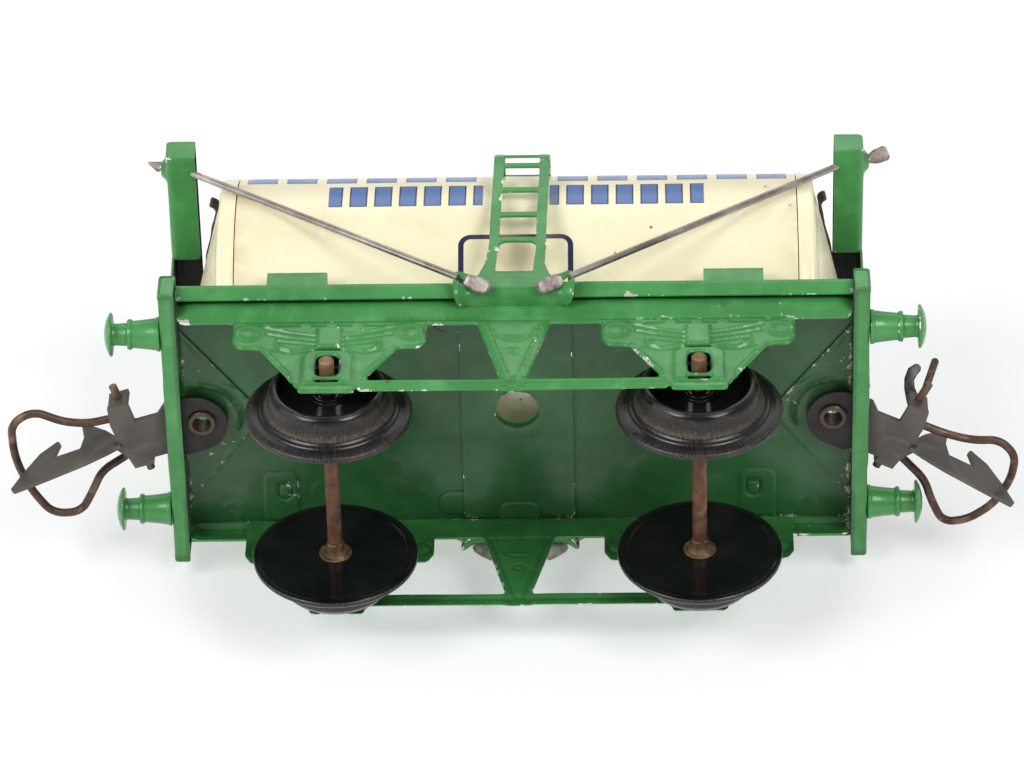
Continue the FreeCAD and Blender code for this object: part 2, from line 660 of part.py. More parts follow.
def make_stay(end, x_sign, side, y_sign):
    """Wire from the end frame's boss to the lug, with both ends hammered flat."""
    def at(x, y, z):
        return Vector(x_sign * x, y_sign * y, z)

    face = sheet.get("end_face")
    boss_y, boss_z = sheet.get("boss_offset"), sheet.get("boss_height")
    lug = Vector(sheet.get("lug_x"), sheet.get("lug_y"), sheet.get("lug_height"))
    knee = Vector(face - 3.0, boss_y, boss_z - 0.8)
    slope = (lug - knee).normalize()
    tip = lug + slope * ((lug.x - sheet.get("stay_inner_x")) / -slope.x)
    run = [at(face + 2.2, boss_y, boss_z + 0.6), at(face - 0.3, boss_y, boss_z), at(*knee),
           at(*tip)]
    wire = bent_wire(run, sheet.get("stay_radius"))

    def flat(length, width, centre, direction):
        """Flattened end: long way along the wire, thin way across the wagon."""
        block = Part.makeBox(length, 0.9, width, Vector(-length / 2, -0.45, -width / 2))
        block = block.makeFillet(0.3, block.Edges)
        block.Placement = Placement(centre, Rotation(X_AXIS, direction))
        return block

    outer_end = flat(3.0, 2.6, at(face + 3.2, boss_y, boss_z + 1.0), Vector(x_sign, 0, 0.4))
    inner_end = flat(5.0, 1.9, at(*(tip - slope * 1.4)), at(*slope))
    shaped(f"stay_{side}_{end}", wire.fuse([outer_end, inner_end]).removeSplitter())


# ---------------------------------------------------------------- ladders
def ladder_strip(half_width, low, top_reach):
    """The ladder's strip seen from the end: upright, bent over, then round the tank."""
    thick = sheet.get("sheet_thick")
    inside = sheet.get("deck_half_width")
    bend, radius = sheet.get("ladder_bend"), sheet.get("ladder_bend_radius")
    centre = Vector(0, inside - radius, bend)
    tank = Vector(0, 0, sheet.get("tank_height"))
    hug = sheet.get("tank_radius") + 0.25

    def run(offset):
        """One face of the strip: end points and middles of its three stretches."""
        arc_radius, tank_radius = radius + offset, hug + offset
        lean = centre - tank
        reach = lean.Length
        heading = math.atan2(lean.z, lean.y)
        turn = (tank_radius ** 2 - arc_radius ** 2 - reach ** 2) / (2 * reach * arc_radius)
        meet_angle = heading + math.acos(turn)
        meet = centre + Vector(0, math.cos(meet_angle), math.sin(meet_angle)) * arc_radius
        half = centre + Vector(0, math.cos(meet_angle / 2), math.sin(meet_angle / 2)) * arc_radius
        start_angle = math.atan2(meet.z - tank.z, meet.y)
        stop_angle = math.acos(top_reach / tank_radius)
        middle = (start_angle + stop_angle) / 2
        over = tank + Vector(0, math.cos(middle), math.sin(middle)) * tank_radius
        stop = tank + Vector(0, math.cos(stop_angle), math.sin(stop_angle)) * tank_radius
        foot = Vector(0, inside + offset, low)
        knee = Vector(0, inside + offset, bend)
        return foot, knee, half, meet, over, stop

    a = run(0.0)
    b = run(thick)
    edges = [Part.LineSegment(a[0], a[1]), Part.Arc(a[1], a[2], a[3]), Part.Arc(a[3], a[4], a[5]),
             Part.LineSegment(a[5], b[5]), Part.Arc(b[5], b[4], b[3]), Part.Arc(b[3], b[2], b[1]),
             Part.LineSegment(b[1], b[0]), Part.LineSegment(b[0], a[0])]
    face = Part.Face(Part.Wire([edge.toShape() for edge in edges]))
    strip = face.extrude(Vector(2 * half_width, 0, 0))
    strip.translate(Vector(-half_width, 0, 0))
    return strip


def make_ladder(side, sign):
    """Ladder and the plate that it stands on, with the two lugs for the stays."""
    thick, inside = sheet.get("sheet_thick"), sheet.get("deck_half_width")
    wide, gap = sheet.get("ladder_half_width"), sheet.get("ladder_inner")
    low, high = sheet.get("plate_low"), sheet.get("plate_high")
    plate_half = sheet.get("plate_half_width")
    ladder = ladder_strip(wide, low, sheet.get("ladder_top_y"))
    plate = Part.makeBox(2 * plate_half, thick, high - low, Vector(-plate_half, inside, low))
    tray_side = sheet.get("tray_half_width")
    foot = Part.makeBox(2 * plate_half, inside + thick - tray_side, thick,
                        Vector(-plate_half, tray_side, low))
    ladder = ladder.fuse([plate, foot])

    lug_at = Vector(0, sheet.get("lug_y"), sheet.get("lug_height"))
    lug_radius = sheet.get("lug_radius")
    for x_sign in ENDS.values():
        x = x_sign * (plate_half - thick / 2) - thick / 2
        start = Vector(x, lug_at.y, lug_at.z)
        ear = Part.makeCylinder(lug_radius, thick, start, X_AXIS)
        ear = ear.cut(Part.makeBox(9, 9, 9, Vector(x - 1, inside - 9, lug_at.z - 4.5)))
        hole = Part.makeCylinder(sheet.get("stay_hole") + 0.2, 3, start - X_AXIS * 1.5, X_AXIS)
        ladder = ladder.fuse(ear).cut(hole)

    arch_low, arch_high = sheet.get("arch_low"), sheet.get("arch_high")
    arch = Part.makeBox(2 * gap, 4, arch_high - arch_low - gap, Vector(-gap, inside - 2, arch_low))
    arch = arch.fuse(Part.makeCylinder(gap, 4, Vector(0, inside - 2, arch_high - gap), Y_AXIS))
    ladder = ladder.cut(arch)
    rung, pitch = sheet.get("rung_thick"), sheet.get("rung_pitch")
    first = sheet.get("first_rung")
    for number in range(3):
        base = first + number * pitch + rung / 2
        ladder = ladder.cut(Part.makeBox(2 * gap, 4, pitch - rung, Vector(-gap, inside - 2, base)))

    def window(centre, radius, angle):
        """Opening between two rungs where the strip is bent about a centre."""
        corner = Vector(-gap, radius - 1.5, (rung - pitch) / 2)
        gap_box = Part.makeBox(2 * gap, 3, pitch - rung, corner)
        gap_box.Placement = Placement(centre, Rotation(X_AXIS, angle))
        return gap_box

    # Over the bend the rungs keep their pitch, measured along the strip's outer face.
    bend, radius = sheet.get("ladder_bend"), sheet.get("ladder_bend_radius")
    past_bend = first + 3.5 * pitch - bend
    for number in range(2):
        angle = math.degrees((past_bend + number * pitch) / (radius + thick))
        ladder = ladder.cut(window(Vector(0, inside - radius, bend), radius, angle))
    ladder = ladder.cut(window(Vector(0, 0, sheet.get("tank_height")),
                               sheet.get("tank_radius"), sheet.get("last_window_angle")))
    ladder = ladder.removeSplitter()
    if sign < 0:
        ladder = ladder.mirror(Vector(0, 0, 0), Y_AXIS)
    shaped("ladder_" + side, ladder)


# ---------------------------------------------------------------- the wagon
make_deck_plate()
make_tray_floor()
make_cross_strap()
make_tank_barrel()
make_filler_cap()
for end, x_sign in ENDS.items():
    make_gusset(end, x_sign)
    make_headstock(end, x_sign)
    make_axle(end, x_sign)
    make_eyelet(end, x_sign)
    make_drawbar(end, x_sign)
    make_coupling_loop(end, x_sign)
    make_tank_end(end, x_sign)
    make_tank_strap(end, x_sign)
    make_saddle(end, x_sign)
    make_end_frame(end, x_sign)
    for side, y_sign in SIDES.items():
        make_wheel(end, x_sign, side, y_sign)
        make_collar(end, x_sign, side, y_sign)
        make_buffer(end, x_sign, side, y_sign)
        make_stay(end, x_sign, side, y_sign)
for side, y_sign in SIDES.items():
    make_solebar(side, y_sign)
    make_side_frame(side, y_sign)
    make_ladder(side, y_sign)

doc.recompute()
broken = [thing.Label for thing in doc.Objects
          if "Invalid" in thing.State or "Error" in thing.State]
broken += [piece.Label for piece in parts if piece.Shape.isNull() or not piece.Shape.isValid()]
if broken:
    raise RuntimeError("pieces that failed: " + ", ".join(broken))

os.makedirs("parts", exist_ok=True)
for piece in parts:
    piece.Shape.exportStep(f"parts/{piece.Label}.step")
    print(piece.Label, len(piece.Shape.Solids), "solids", round(piece.Shape.Volume, 1), "mm3")
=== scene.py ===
"""Looks of the model tank wagon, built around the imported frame.

Shapes are written in millimetres and become metres when a mesh is made. X runs along the
wagon, Y across it, and Z up from the rails. The table is an upright plane beside the wagon, so
that in the picture the wagon lies on its side with its underside to the camera.
"""
import math

import bpy
import numpy as np
from mathutils import Matrix, Vector, noise
from mathutils.geometry import delaunay_2d_cdt


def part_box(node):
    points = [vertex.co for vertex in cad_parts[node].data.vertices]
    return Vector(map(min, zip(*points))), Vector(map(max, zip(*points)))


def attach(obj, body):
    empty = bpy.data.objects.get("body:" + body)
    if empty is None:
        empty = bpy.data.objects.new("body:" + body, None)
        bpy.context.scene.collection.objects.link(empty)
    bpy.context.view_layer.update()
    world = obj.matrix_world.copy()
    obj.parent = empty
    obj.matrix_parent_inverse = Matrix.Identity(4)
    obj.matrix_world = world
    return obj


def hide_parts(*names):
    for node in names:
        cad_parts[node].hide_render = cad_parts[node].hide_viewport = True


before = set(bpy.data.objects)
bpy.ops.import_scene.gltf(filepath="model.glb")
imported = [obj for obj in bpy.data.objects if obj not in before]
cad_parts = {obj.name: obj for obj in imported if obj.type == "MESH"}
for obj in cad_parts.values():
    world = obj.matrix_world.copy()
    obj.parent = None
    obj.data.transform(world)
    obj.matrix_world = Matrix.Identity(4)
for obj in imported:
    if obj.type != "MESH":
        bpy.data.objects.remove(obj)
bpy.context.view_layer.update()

MM = 0.001
ENDS = {"left": -1, "right": 1}
SIDES = {"front": -1, "rear": 1}
BODY = "underframe"


def mm_box(node):
    """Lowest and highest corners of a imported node, in millimetres."""
    low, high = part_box(node)
    return Vector(low) / MM, Vector(high) / MM


# ---------------------------------------------------------------- places read from the frame
deck_low, deck_high = mm_box("deck_plate")
tray_low, tray_high = mm_box("solebar_rear")
stock_low, stock_high = mm_box("headstock_right")
guard_high = mm_box("side_frame_rear")[1]
axle_low, axle_high = mm_box("axle_right")
wheel_low = mm_box("wheel_right_rear")[0]
buffer_low, buffer_high = mm_box("buffer_rear_right")
barrel_low, barrel_high = mm_box("tank_barrel")
beam_high = mm_box("end_frame_right")[1]
ladder_high = mm_box("ladder_rear")[1]
gusset_low, gusset_high = mm_box("gusset_right")
strap_low, strap_high = mm_box("cross_strap")
saddle_low, saddle_high = mm_box("saddle_right")
eyelet_low, eyelet_high = mm_box("drawbar_eyelet_right")

SHEET = 0.4          # thickness of the folded sheets
PRESS = 0.5          # thickness of the deep pressings
PLATE = 0.3          # thickness of the plates that lie on the tray's floor
DECK_TOP = deck_high.z
FLOOR = strap_high.z
SOLEBAR_FOOT = tray_low.z
AXLE_X = (axle_low.x + axle_high.x) / 2
AXLE_Z = (axle_low.z + axle_high.z) / 2
PIVOT_X = (eyelet_low.x + eyelet_high.x) / 2
TANK_R = barrel_high.y
TANK_Z = (barrel_low.z + barrel_high.z) / 2
HOLE = (0, -0.5)     # middle of the round hole through deck, floor and strap
HOLE_R = 3.75
RIVET_R = 1.95       # hole for the drawbar's hollow rivet


# ---------------------------------------------------------------- plane outlines
def arc(centre, radius, start, stop, steps):
    """Points along an arc, angles in degrees."""
    points = []
    for step in range(steps + 1):
        angle = math.radians(start + (stop - start) * step / steps)
        points.append((centre[0] + radius * math.cos(angle),
                       centre[1] + radius * math.sin(angle)))
    return points


def ring(centre, radius, steps=36):
    return arc(centre, radius, 0, 360, steps)[:-1]


def rounded(corners, radius, steps=4, closed=True):
    """The outline with each corner replaced by an arc; radius is one number or one a corner."""
    radii = radius if isinstance(radius, (list, tuple)) else [radius] * len(corners)
    count = len(corners)
    points = []
    for index, corner in enumerate(corners):
        here = Vector(corner)
        if radii[index] <= 0 or (not closed and index in (0, count - 1)):
            points.append(tuple(here))
            continue
        back = Vector(corners[index - 1]) - here
        ahead = Vector(corners[(index + 1) % count]) - here
        half = back.angle(ahead) / 2
        reach = min(radii[index] / math.tan(half), 0.48 * back.length, 0.48 * ahead.length)
        bend = reach * math.tan(half)
        centre = here + (back.normalized() + ahead.normalized()).normalized() * (
            bend / math.sin(half))
        start = here + back.normalized() * reach - centre
        turn = start.angle_signed(here + ahead.normalized() * reach - centre)
        for step in range(steps + 1):
            spoke = start.copy()
            spoke.rotate(Matrix.Rotation(-turn * step / steps, 2))
            points.append(tuple(centre + spoke))
    return points


def rectangle(low_u, low_v, high_u, high_v):
    return [(low_u, low_v), (high_u, low_v), (high_u, high_v), (low_u, high_v)]


def turned(points, x_sign, y_sign=1):
    """The same points at another end or on another side of the wagon."""
    return [(x_sign * x, y_sign * y) for x, y in points]


def mirrored(half):
    """A closed outline from its half at positive u, listed from top to bottom."""
    return half + [(-u, v) for u, v in reversed(half)]


def resampled(loop, pitch):
    points = []
    for index, point in enumerate(loop):
        after = loop[(index + 1) % len(loop)]
        length = math.dist(point, after)
        steps = max(1, round(length / pitch))
        for step in range(steps):
            share = step / steps
            points.append((point[0] + (after[0] - point[0]) * share,
                           point[1] + (after[1] - point[1]) * share))
    return points


def inside(points, loop):
    """Which points lie inside a closed loop."""
    result = np.zeros(len(points), bool)
    x, y = points[:, 0], points[:, 1]
    for (x0, y0), (x1, y1) in zip(loop, loop[1:] + loop[:1]):
        if y0 == y1:
            continue
        crosses = (y0 > y) != (y1 > y)
        result ^= crosses & (x < x0 + (y - y0) * (x1 - x0) / (y1 - y0))
    return result


def distance_to(points, samples):
    """Distance from each point to the nearest sample."""
    result = np.full(len(points), 1e9)
    for start in range(0, len(points), 2000):
        block = points[start:start + 2000, None, :] - samples[None, :, :]
        result[start:start + 2000] = np.sqrt((block ** 2).sum(axis=2)).min(axis=1)
    return result


def near_line(u, v, line):
    """Distance from a point to a run of straight segments."""
    best = 1e9
    for (x0, y0), (x1, y1) in zip(line, line[1:]):
        dx, dy = x1 - x0, y1 - y0
        share = ((u - x0) * dx + (v - y0) * dy) / (dx * dx + dy * dy)
        share = min(1.0, max(0.0, share))
        best = min(best, math.hypot(u - x0 - share * dx, v - y0 - share * dy))
    return best


def ridge(distance, width):
    return math.exp(-(distance / width) ** 2)


def ramp(value, low, high):
    """Smooth step from 0 at low to 1 at high."""
    share = min(1.0, max(0.0, (value - low) / (high - low)))
    return share * share * (3 - 2 * share)


def ripple(u, v, scale, height, seed=0.0):
    """Slight unevenness of hand-fed tinplate."""
    return height * noise.noise(Vector((u / scale, v / scale, seed)))


class Fold:
    """A bent strip seen from its edge: a run of points with rounded corners.

    start is the distance given to its first point; without it, zero is halfway along.
    """

    def __init__(self, points, radius, start=None, steps=6):
        self.line = [Vector(point) for point in rounded(points, radius, steps, closed=False)]
        self.reach = [0.0]
        for before, after in zip(self.line, self.line[1:]):
            self.reach.append(self.reach[-1] + (after - before).length)
        self.length = self.reach[-1]
        self.start = -self.length / 2 if start is None else start

    def at(self, along, height):
        """Point at a distance along the strip, raised to its left by a height."""
        want = along - self.start
        index = int(np.searchsorted(self.reach, want, side="right")) - 1
        index = min(max(index, 0), len(self.line) - 2)
        run = self.line[index + 1] - self.line[index]
        share = (want - self.reach[index]) / run.length
        before = self.line[index] - self.line[index - 1] if index > 0 else run
        after = (self.line[index + 2] - self.line[index + 1] if index + 2 < len(self.line)
                 else run)
        low = (before.normalized() + run.normalized()).normalized()
        high = (run.normalized() + after.normalized()).normalized()
        way = low.lerp(high, min(1.0, max(0.0, share))).normalized()
        spot = self.line[index] + run * share
        return spot + Vector((-way.y, way.x)) * height


# ---------------------------------------------------------------- meshes
def add_piece(name, verts, faces, material, body, replaces=(), slot=None, sharp=38,
              under=None, under_faces=()):
    """A mesh in millimetres becomes a piece that rides on a body."""
    mesh = bpy.data.meshes.new(name)
    mesh.from_pydata([Vector(vert) * MM for vert in verts], [], faces)
    mesh.materials.append(material)
    if under:
        mesh.materials.append(under)
        for index in under_faces:
            mesh.polygons[index].material_index = 1
    mesh.validate()
    mesh.shade_smooth()
    mesh.set_sharp_from_angle(angle=math.radians(sharp))
    piece = bpy.data.objects.new(name, mesh)
    bpy.context.scene.collection.objects.link(piece)
    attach(piece, body)
    if replaces:
        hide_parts(*replaces)
    return piece


class Build:
    """Verts and faces of a piece that is made of several shells."""

    def __init__(self):
        self.verts = []
        self.faces = []
        self.lower = []

    def add_sheet(self, verts, faces):
        """A sheet's upper and lower triangles alternate; note which ones are lower."""
        first = len(self.faces)
        pairs = sum(len(face) == 3 for face in faces) // 2
        self.lower += [first + 2 * index + 1 for index in range(pairs)]
        return self.add(verts, faces)

    def add(self, verts, faces):
        first = len(self.verts)
        self.verts += [tuple(vert) for vert in verts]
        self.faces += [tuple(first + index for index in face) for face in faces]
        return self

    def piece(self, name, material, body=BODY, **options):
        return add_piece(name, self.verts, self.faces, material, body,
                         under_faces=self.lower, **options)


def sheet(outline, place, thick, pitch=0.6, holes=(), lift=None, roll=0.0, roll_width=0.6,
          flip=False):
    """Shell of a pressed sheet: its outline filled with fine triangles and given a thickness.

    place(u, v, w) puts a point of the flat pattern, raised by w, in the wagon. lift(u, v, edge)
    is the pressing's height, where edge is the distance to the nearest cut edge.
    """
    step_u, step_v = pitch if isinstance(pitch, tuple) else (pitch, pitch)
    edge_step = min(step_u, step_v)
    loops = [resampled(loop, edge_step) for loop in [outline, *holes]]
    border = np.array([point for loop in loops for point in loop])
    low, high = border.min(axis=0), border.max(axis=0)
    us = np.arange(low[0] + step_u / 2, high[0], step_u)
    vs = np.arange(low[1] + step_v / 2, high[1], step_v)
    grid = np.stack(np.meshgrid(us, vs, indexing="ij"), axis=-1).reshape(-1, 2)
    keep = inside(grid, loops[0]) & (distance_to(grid, border) > 0.45 * edge_step)
    for loop in loops[1:]:
        keep &= ~inside(grid, loop)
    edges = []
    first = 0
    for loop in loops:
        edges += [(first + index, first + (index + 1) % len(loop)) for index in range(len(loop))]
        first += len(loop)
    points = [Vector(point) for point in np.concatenate([border, grid[keep]])]
    flat, _, triangles, _, _, _ = delaunay_2d_cdt(points, edges, [], 0, 1e-5)
    spots = np.array([tuple(point) for point in flat])
    corners = np.array([list(triangle) for triangle in triangles])
    centres = spots[corners].mean(axis=1)
    wanted = inside(centres, loops[0])
    for loop in loops[1:]:
        wanted &= ~inside(centres, loop)
    corners = corners[wanted]
    edge = distance_to(spots, border)
    verts = []
    lower = []
    for (u, v), gap in zip(spots, edge):
        height = lift(u, v, gap) if lift else 0.0
        drop = roll * max(0.0, 1 - gap / roll_width) ** 2 if roll else 0.0
        verts.append(place(u, v, height - drop))
        lower.append(place(u, v, height - thick))
    count = len(verts)
    faces = []
    sides = {}
    for a, b, c in corners.tolist():
        faces.append((a, c, b) if flip else (a, b, c))
        faces.append((a + count, b + count, c + count) if flip
                     else (a + count, c + count, b + count))
        for start, stop in ((a, b), (b, c), (c, a)):
            sides[(start, stop)] = True
    for start, stop in sides:
        if (stop, start) not in sides:
            quad = (start, start + count, stop + count, stop)
            faces.append(quad[::-1] if flip else quad)
    used = sorted({index for face in faces for index in face})
    renumber = {old: new for new, old in enumerate(used)}
    both = verts + lower
    return ([both[index] for index in used],
            [tuple(renumber[index] for index in face) for face in faces])


def lathe(profile, origin, axis, segments=96, closed=False):
    """Shell turned about an axis; the profile is (distance along the axis, radius)."""
    axis = Vector(axis).normalized()
    side = axis.orthogonal().normalized()
    other = axis.cross(side)
    origin = Vector(origin)
    verts = []
    rings = []
    for along, radius in profile:
        if radius < 1e-6:
            rings.append([len(verts)])
            verts.append(origin + axis * along)
            continue
        rings.append(list(range(len(verts), len(verts) + segments)))
        for step in range(segments):
            angle = 2 * math.pi * step / segments
            spoke = side * math.cos(angle) + other * math.sin(angle)
            verts.append(origin + axis * along + spoke * radius)
    faces = []
    pairs = list(zip(rings, rings[1:]))
    if closed:
        pairs.append((rings[-1], rings[0]))
    for low, high in pairs:
        for step in range(segments):
            after = (step + 1) % segments
            if len(low) == 1 and len(high) == 1:
                break
            if len(low) == 1:
                faces.append((low[0], high[after], high[step]))
            elif len(high) == 1:
                faces.append((low[step], low[after], high[0]))
            else:
                faces.append((low[step], low[after], high[after], high[step]))
    return verts, faces


# ---------------------------------------------------------------- materials
class Shader:
    """A node material; sockets are given by name."""

    def __init__(self, name):
        self.material = bpy.data.materials.new(name)
        self.material.use_nodes = True
        self.tree = self.material.node_tree
        self.tree.nodes.clear()
        self.coords = self.tree.nodes.new("ShaderNodeTexCoord").outputs["Object"]
        self.out = self.tree.nodes.new("ShaderNodeOutputMaterial")
        self.body = self.tree.nodes.new("ShaderNodeBsdfPrincipled")
        self.tree.links.new(self.body.outputs[0], self.out.inputs["Surface"])

    def put(self, node, name, value):
        socket = node.inputs[name]
        if isinstance(value, bpy.types.NodeSocket):
            self.tree.links.new(value, socket)
        elif isinstance(value, tuple) and len(value) == 3 and socket.type == "RGBA":
            socket.default_value = (*value, 1.0)
        else:
            socket.default_value = value

    def node(self, kind, values=(), **settings):
        node = self.tree.nodes.new("ShaderNode" + kind)
        for name, value in settings.items():
            setattr(node, name, value)
        for name, value in dict(values).items():
            self.put(node, name, value)
        return node

    def surface(self, **values):
        for name, value in values.items():
            self.put(self.body, name.replace("_", " "), value)

    def noise(self, scale, detail=4.0, roughness=0.55, coords=None, distortion=0.0):
        return self.node("TexNoise", {"Vector": coords or self.coords, "Scale": scale,
                                      "Detail": detail, "Roughness": roughness,
                                      "Distortion": distortion}).outputs["Fac"]

    def span(self, value, low, high, to_low=0.0, to_high=1.0):
        """Value from low to high, as to_low to to_high, held beyond them."""
        return self.node("MapRange", {"Value": value, "From Min": low, "From Max": high,
                                      "To Min": to_low, "To Max": to_high}).outputs["Result"]

    def math(self, operation, first, second):
        node = self.node("Math", {0: first, 1: second}, operation=operation)
        return node.outputs[0]

    def mix(self, share, first, second):
        node = self.tree.nodes.new("ShaderNodeMix")
        node.data_type = "RGBA"
        for socket, value in zip((node.inputs[0], node.inputs[6], node.inputs[7]),
                                 (share, first, second)):
            if isinstance(value, bpy.types.NodeSocket):
                self.tree.links.new(value, socket)
            else:
                socket.default_value = (*value, 1.0) if isinstance(value, tuple) else value
        return node.outputs[2]

    def pointiness(self):
        return self.node("NewGeometry").outputs["Pointiness"]

    def bump(self, height, strength, distance=0.0002):
        return self.node("Bump", {"Height": height, "Strength": strength,
                                  "Distance": distance}).outputs["Normal"]


def enamel(name, base, light, dark, chip_level, grime=0.0, gloss=0.26,
           bare=(0.80, 0.78, 0.72)):
    """Old stoved enamel on tinplate: uneven gloss, chipped edges, rust specks, and painted shade
    darkening the hollows.
    """
    shader = Shader(name)
    broad = shader.noise(70, 5.0)
    cloudy = shader.noise(240, 4.0)
    colour = shader.mix(shader.span(broad, 0.35, 0.65), dark, base)
    colour = shader.mix(shader.span(cloudy, 0.5, 0.75, 0.0, 0.55), colour, light)
    point = shader.pointiness()
    # Painted shade: concave places, found by pointiness, are darkened towards a deep copy of the dark
    # tone, standing in for shade in creases.
    painted_hollow_shade = shader.span(point, 0.492, 0.44)
    colour = shader.mix(shader.math("MULTIPLY", painted_hollow_shade, 0.55), colour,
                        tuple(channel * 0.35 for channel in dark))
    if grime:
        dirt = shader.span(shader.noise(110, 6.0, 0.65), 0.5, 0.72, 0.0, grime)
        colour = shader.mix(dirt, colour, (0.10, 0.105, 0.07))
    grain = shader.noise(780, 3.0, 0.6)
    patches = shader.noise(150, 2.0)
    edge = shader.span(point, 0.52, 0.60)
    worn = shader.math("ADD", shader.math("MULTIPLY", edge, 0.30), grain)
    worn = shader.math("ADD", worn, shader.span(patches, 0.42, 0.62, -0.12, 0.10))
    chips = shader.span(worn, chip_level, chip_level + 0.02)
    speck = shader.node("TexVoronoi", {"Vector": shader.coords, "Scale": 130.0,
                                       "Randomness": 1.0}).outputs["Distance"]
    rust = shader.math("MULTIPLY", shader.span(speck, 0.075, 0.045),
                       shader.span(shader.noise(60, 2.0), 0.52, 0.58))
    colour = shader.mix(rust, colour, (0.13, 0.055, 0.025))
    colour = shader.mix(chips, colour, bare)
    rough = shader.span(shader.noise(380, 4.0), 0.3, 0.7, gloss - 0.05, gloss + 0.12)
    relief = shader.math("ADD", shader.math("MULTIPLY", shader.noise(160, 3.0), 0.5),
                         shader.math("MULTIPLY", chips, -0.45))
    shader.surface(Base_Color=colour, Roughness=rough, Metallic=shader.math("MULTIPLY", chips, 0.7),
                   Normal=shader.bump(relief, 0.35), Coat_Weight=0.15, Coat_Roughness=0.10,
                   Specular_IOR_Level=0.42)
    return shader.material


def aged_metal(name, base, light, dark, metallic=0.75, rough=0.45, scale=420.0,
               shaded_within=None):
    """Steel with a mottled skin of rust or oil, brighter where it rubs.

    The part within a distance of the wagon's middle can be darkened with painted shade, standing in
    for the tray's shade over the drawbar's disc.
    """
    shader = Shader(name)
    mottle = shader.noise(scale, 6.0, 0.7)
    colour = shader.mix(shader.span(mottle, 0.38, 0.62), dark, base)
    streaks = shader.noise(scale * 0.35, 4.0, 0.6, distortion=1.2)
    colour = shader.mix(shader.span(streaks, 0.52, 0.72, 0.0, 0.8), colour, light)
    rub = shader.span(shader.pointiness(), 0.52, 0.60, 0.0, 0.6)
    colour = shader.mix(rub, colour, light)
    # Painted shade: near the wagon's middle the colour is darkened towards half the dark tone, as the
    # tray's shade would.
    if shaded_within:
        split = shader.node("SeparateXYZ", {"Vector": shader.coords})
        x = shader.math("ABSOLUTE", split.outputs[0], 0.0)
        painted_tray_shade = shader.span(x, shaded_within + 0.003, shaded_within - 0.001, 0.0, 0.85)
        colour = shader.mix(painted_tray_shade, colour, tuple(channel * 0.5 for channel in dark))
    shine = shader.span(mottle, 0.35, 0.7, rough - 0.1, rough + 0.2)
    shader.surface(Base_Color=colour, Roughness=shine, Metallic=metallic,
                   Normal=shader.bump(mottle, 0.5, 0.00015))
    return shader.material


def wheel_black():
    """Black enamel, worn brown and scratched across the tread and at the rims."""
    shader = Shader("wheel_black")
    spin = shader.node("Attribute", attribute_name="spin").outputs["Vector"]
    band = shader.node("Attribute", attribute_name="band").outputs["Fac"]
    scratches = shader.noise(3.4, 4.0, 0.75, coords=spin)
    dull = shader.noise(160, 5.0, 0.6)
    colour = shader.mix(shader.span(dull, 0.35, 0.7), (0.003, 0.003, 0.004), (0.009, 0.008, 0.008))
    worn = shader.math("MULTIPLY", band, shader.span(scratches, 0.46, 0.66))
    colour = shader.mix(worn, colour, (0.19, 0.155, 0.115))
    haze = shader.math("MULTIPLY", band, shader.span(dull, 0.3, 0.7, 0.05, 0.3))
    colour = shader.mix(haze, colour, (0.05, 0.042, 0.036))
    rough = shader.math("ADD", shader.span(dull, 0.3, 0.7, 0.09, 0.18),
                        shader.math("MULTIPLY", band, 0.28))
    relief = shader.math("ADD", shader.noise(260, 3.0), shader.math("MULTIPLY", worn, -0.6))
    shader.surface(Base_Color=colour, Roughness=rough, Normal=shader.bump(relief, 0.3),
                   Specular_IOR_Level=0.36)
    return shader.material


def tank_cream(name, printed):
    """Cream enamel, yellowed towards the seams; the barrel carries plain blue lining."""
    shader = Shader(name)
    broad = shader.noise(55, 5.0)
    colour = shader.mix(shader.span(broad, 0.35, 0.68), (0.82, 0.745, 0.50), (0.89, 0.825, 0.57))
    stain = shader.span(shader.noise(95, 6.0, 0.7, distortion=0.8), 0.56, 0.78, 0.0, 0.45)
    colour = shader.mix(stain, colour, (0.60, 0.45, 0.24))
    split = shader.node("SeparateXYZ", {"Vector": shader.coords})
    x = shader.math("ABSOLUTE", split.outputs[0], 0.0)
    if printed:
        y = shader.math("ABSOLUTE", split.outputs[1], 0.0)
        height = shader.math("SUBTRACT", split.outputs[2], TANK_Z * MM)
        angle = shader.math("ARCTAN2", height, y)
        colour = lining(shader, colour, x, angle)
        near_seam = shader.math("SUBTRACT", barrel_high.x * MM, x)
        seam = shader.span(near_seam, 0.0035, 0.0, 0.0, 0.55)
        patchy = shader.span(shader.noise(300, 4.0), 0.35, 0.6)
        colour = shader.mix(shader.math("MULTIPLY", seam, patchy), colour, (0.60, 0.44, 0.25))
        ladder_side = shader.span(x, 0.009, 0.004, 0.0, 0.5)
        low_band = shader.span(angle, 0.30, -0.1)
        dirt = shader.math("MULTIPLY", shader.math("MULTIPLY", ladder_side, low_band),
                           shader.span(shader.noise(170, 5.0), 0.35, 0.65))
        colour = shader.mix(dirt, colour, (0.46, 0.33, 0.20))
    speck = shader.node("TexVoronoi", {"Vector": shader.coords, "Scale": 210.0}).outputs["Distance"]
    spots = shader.math("MULTIPLY", shader.span(speck, 0.07, 0.05),
                        shader.span(shader.noise(90, 2.0), 0.5, 0.56))
    colour = shader.mix(spots, colour, (0.25, 0.15, 0.08))
    rough = shader.span(shader.noise(300, 4.0), 0.3, 0.7, 0.22, 0.36)
    shader.surface(Base_Color=colour, Roughness=rough, Coat_Weight=0.2, Coat_Roughness=0.15,
                   Normal=shader.bump(shader.noise(120, 3.0), 0.3))
    return shader.material


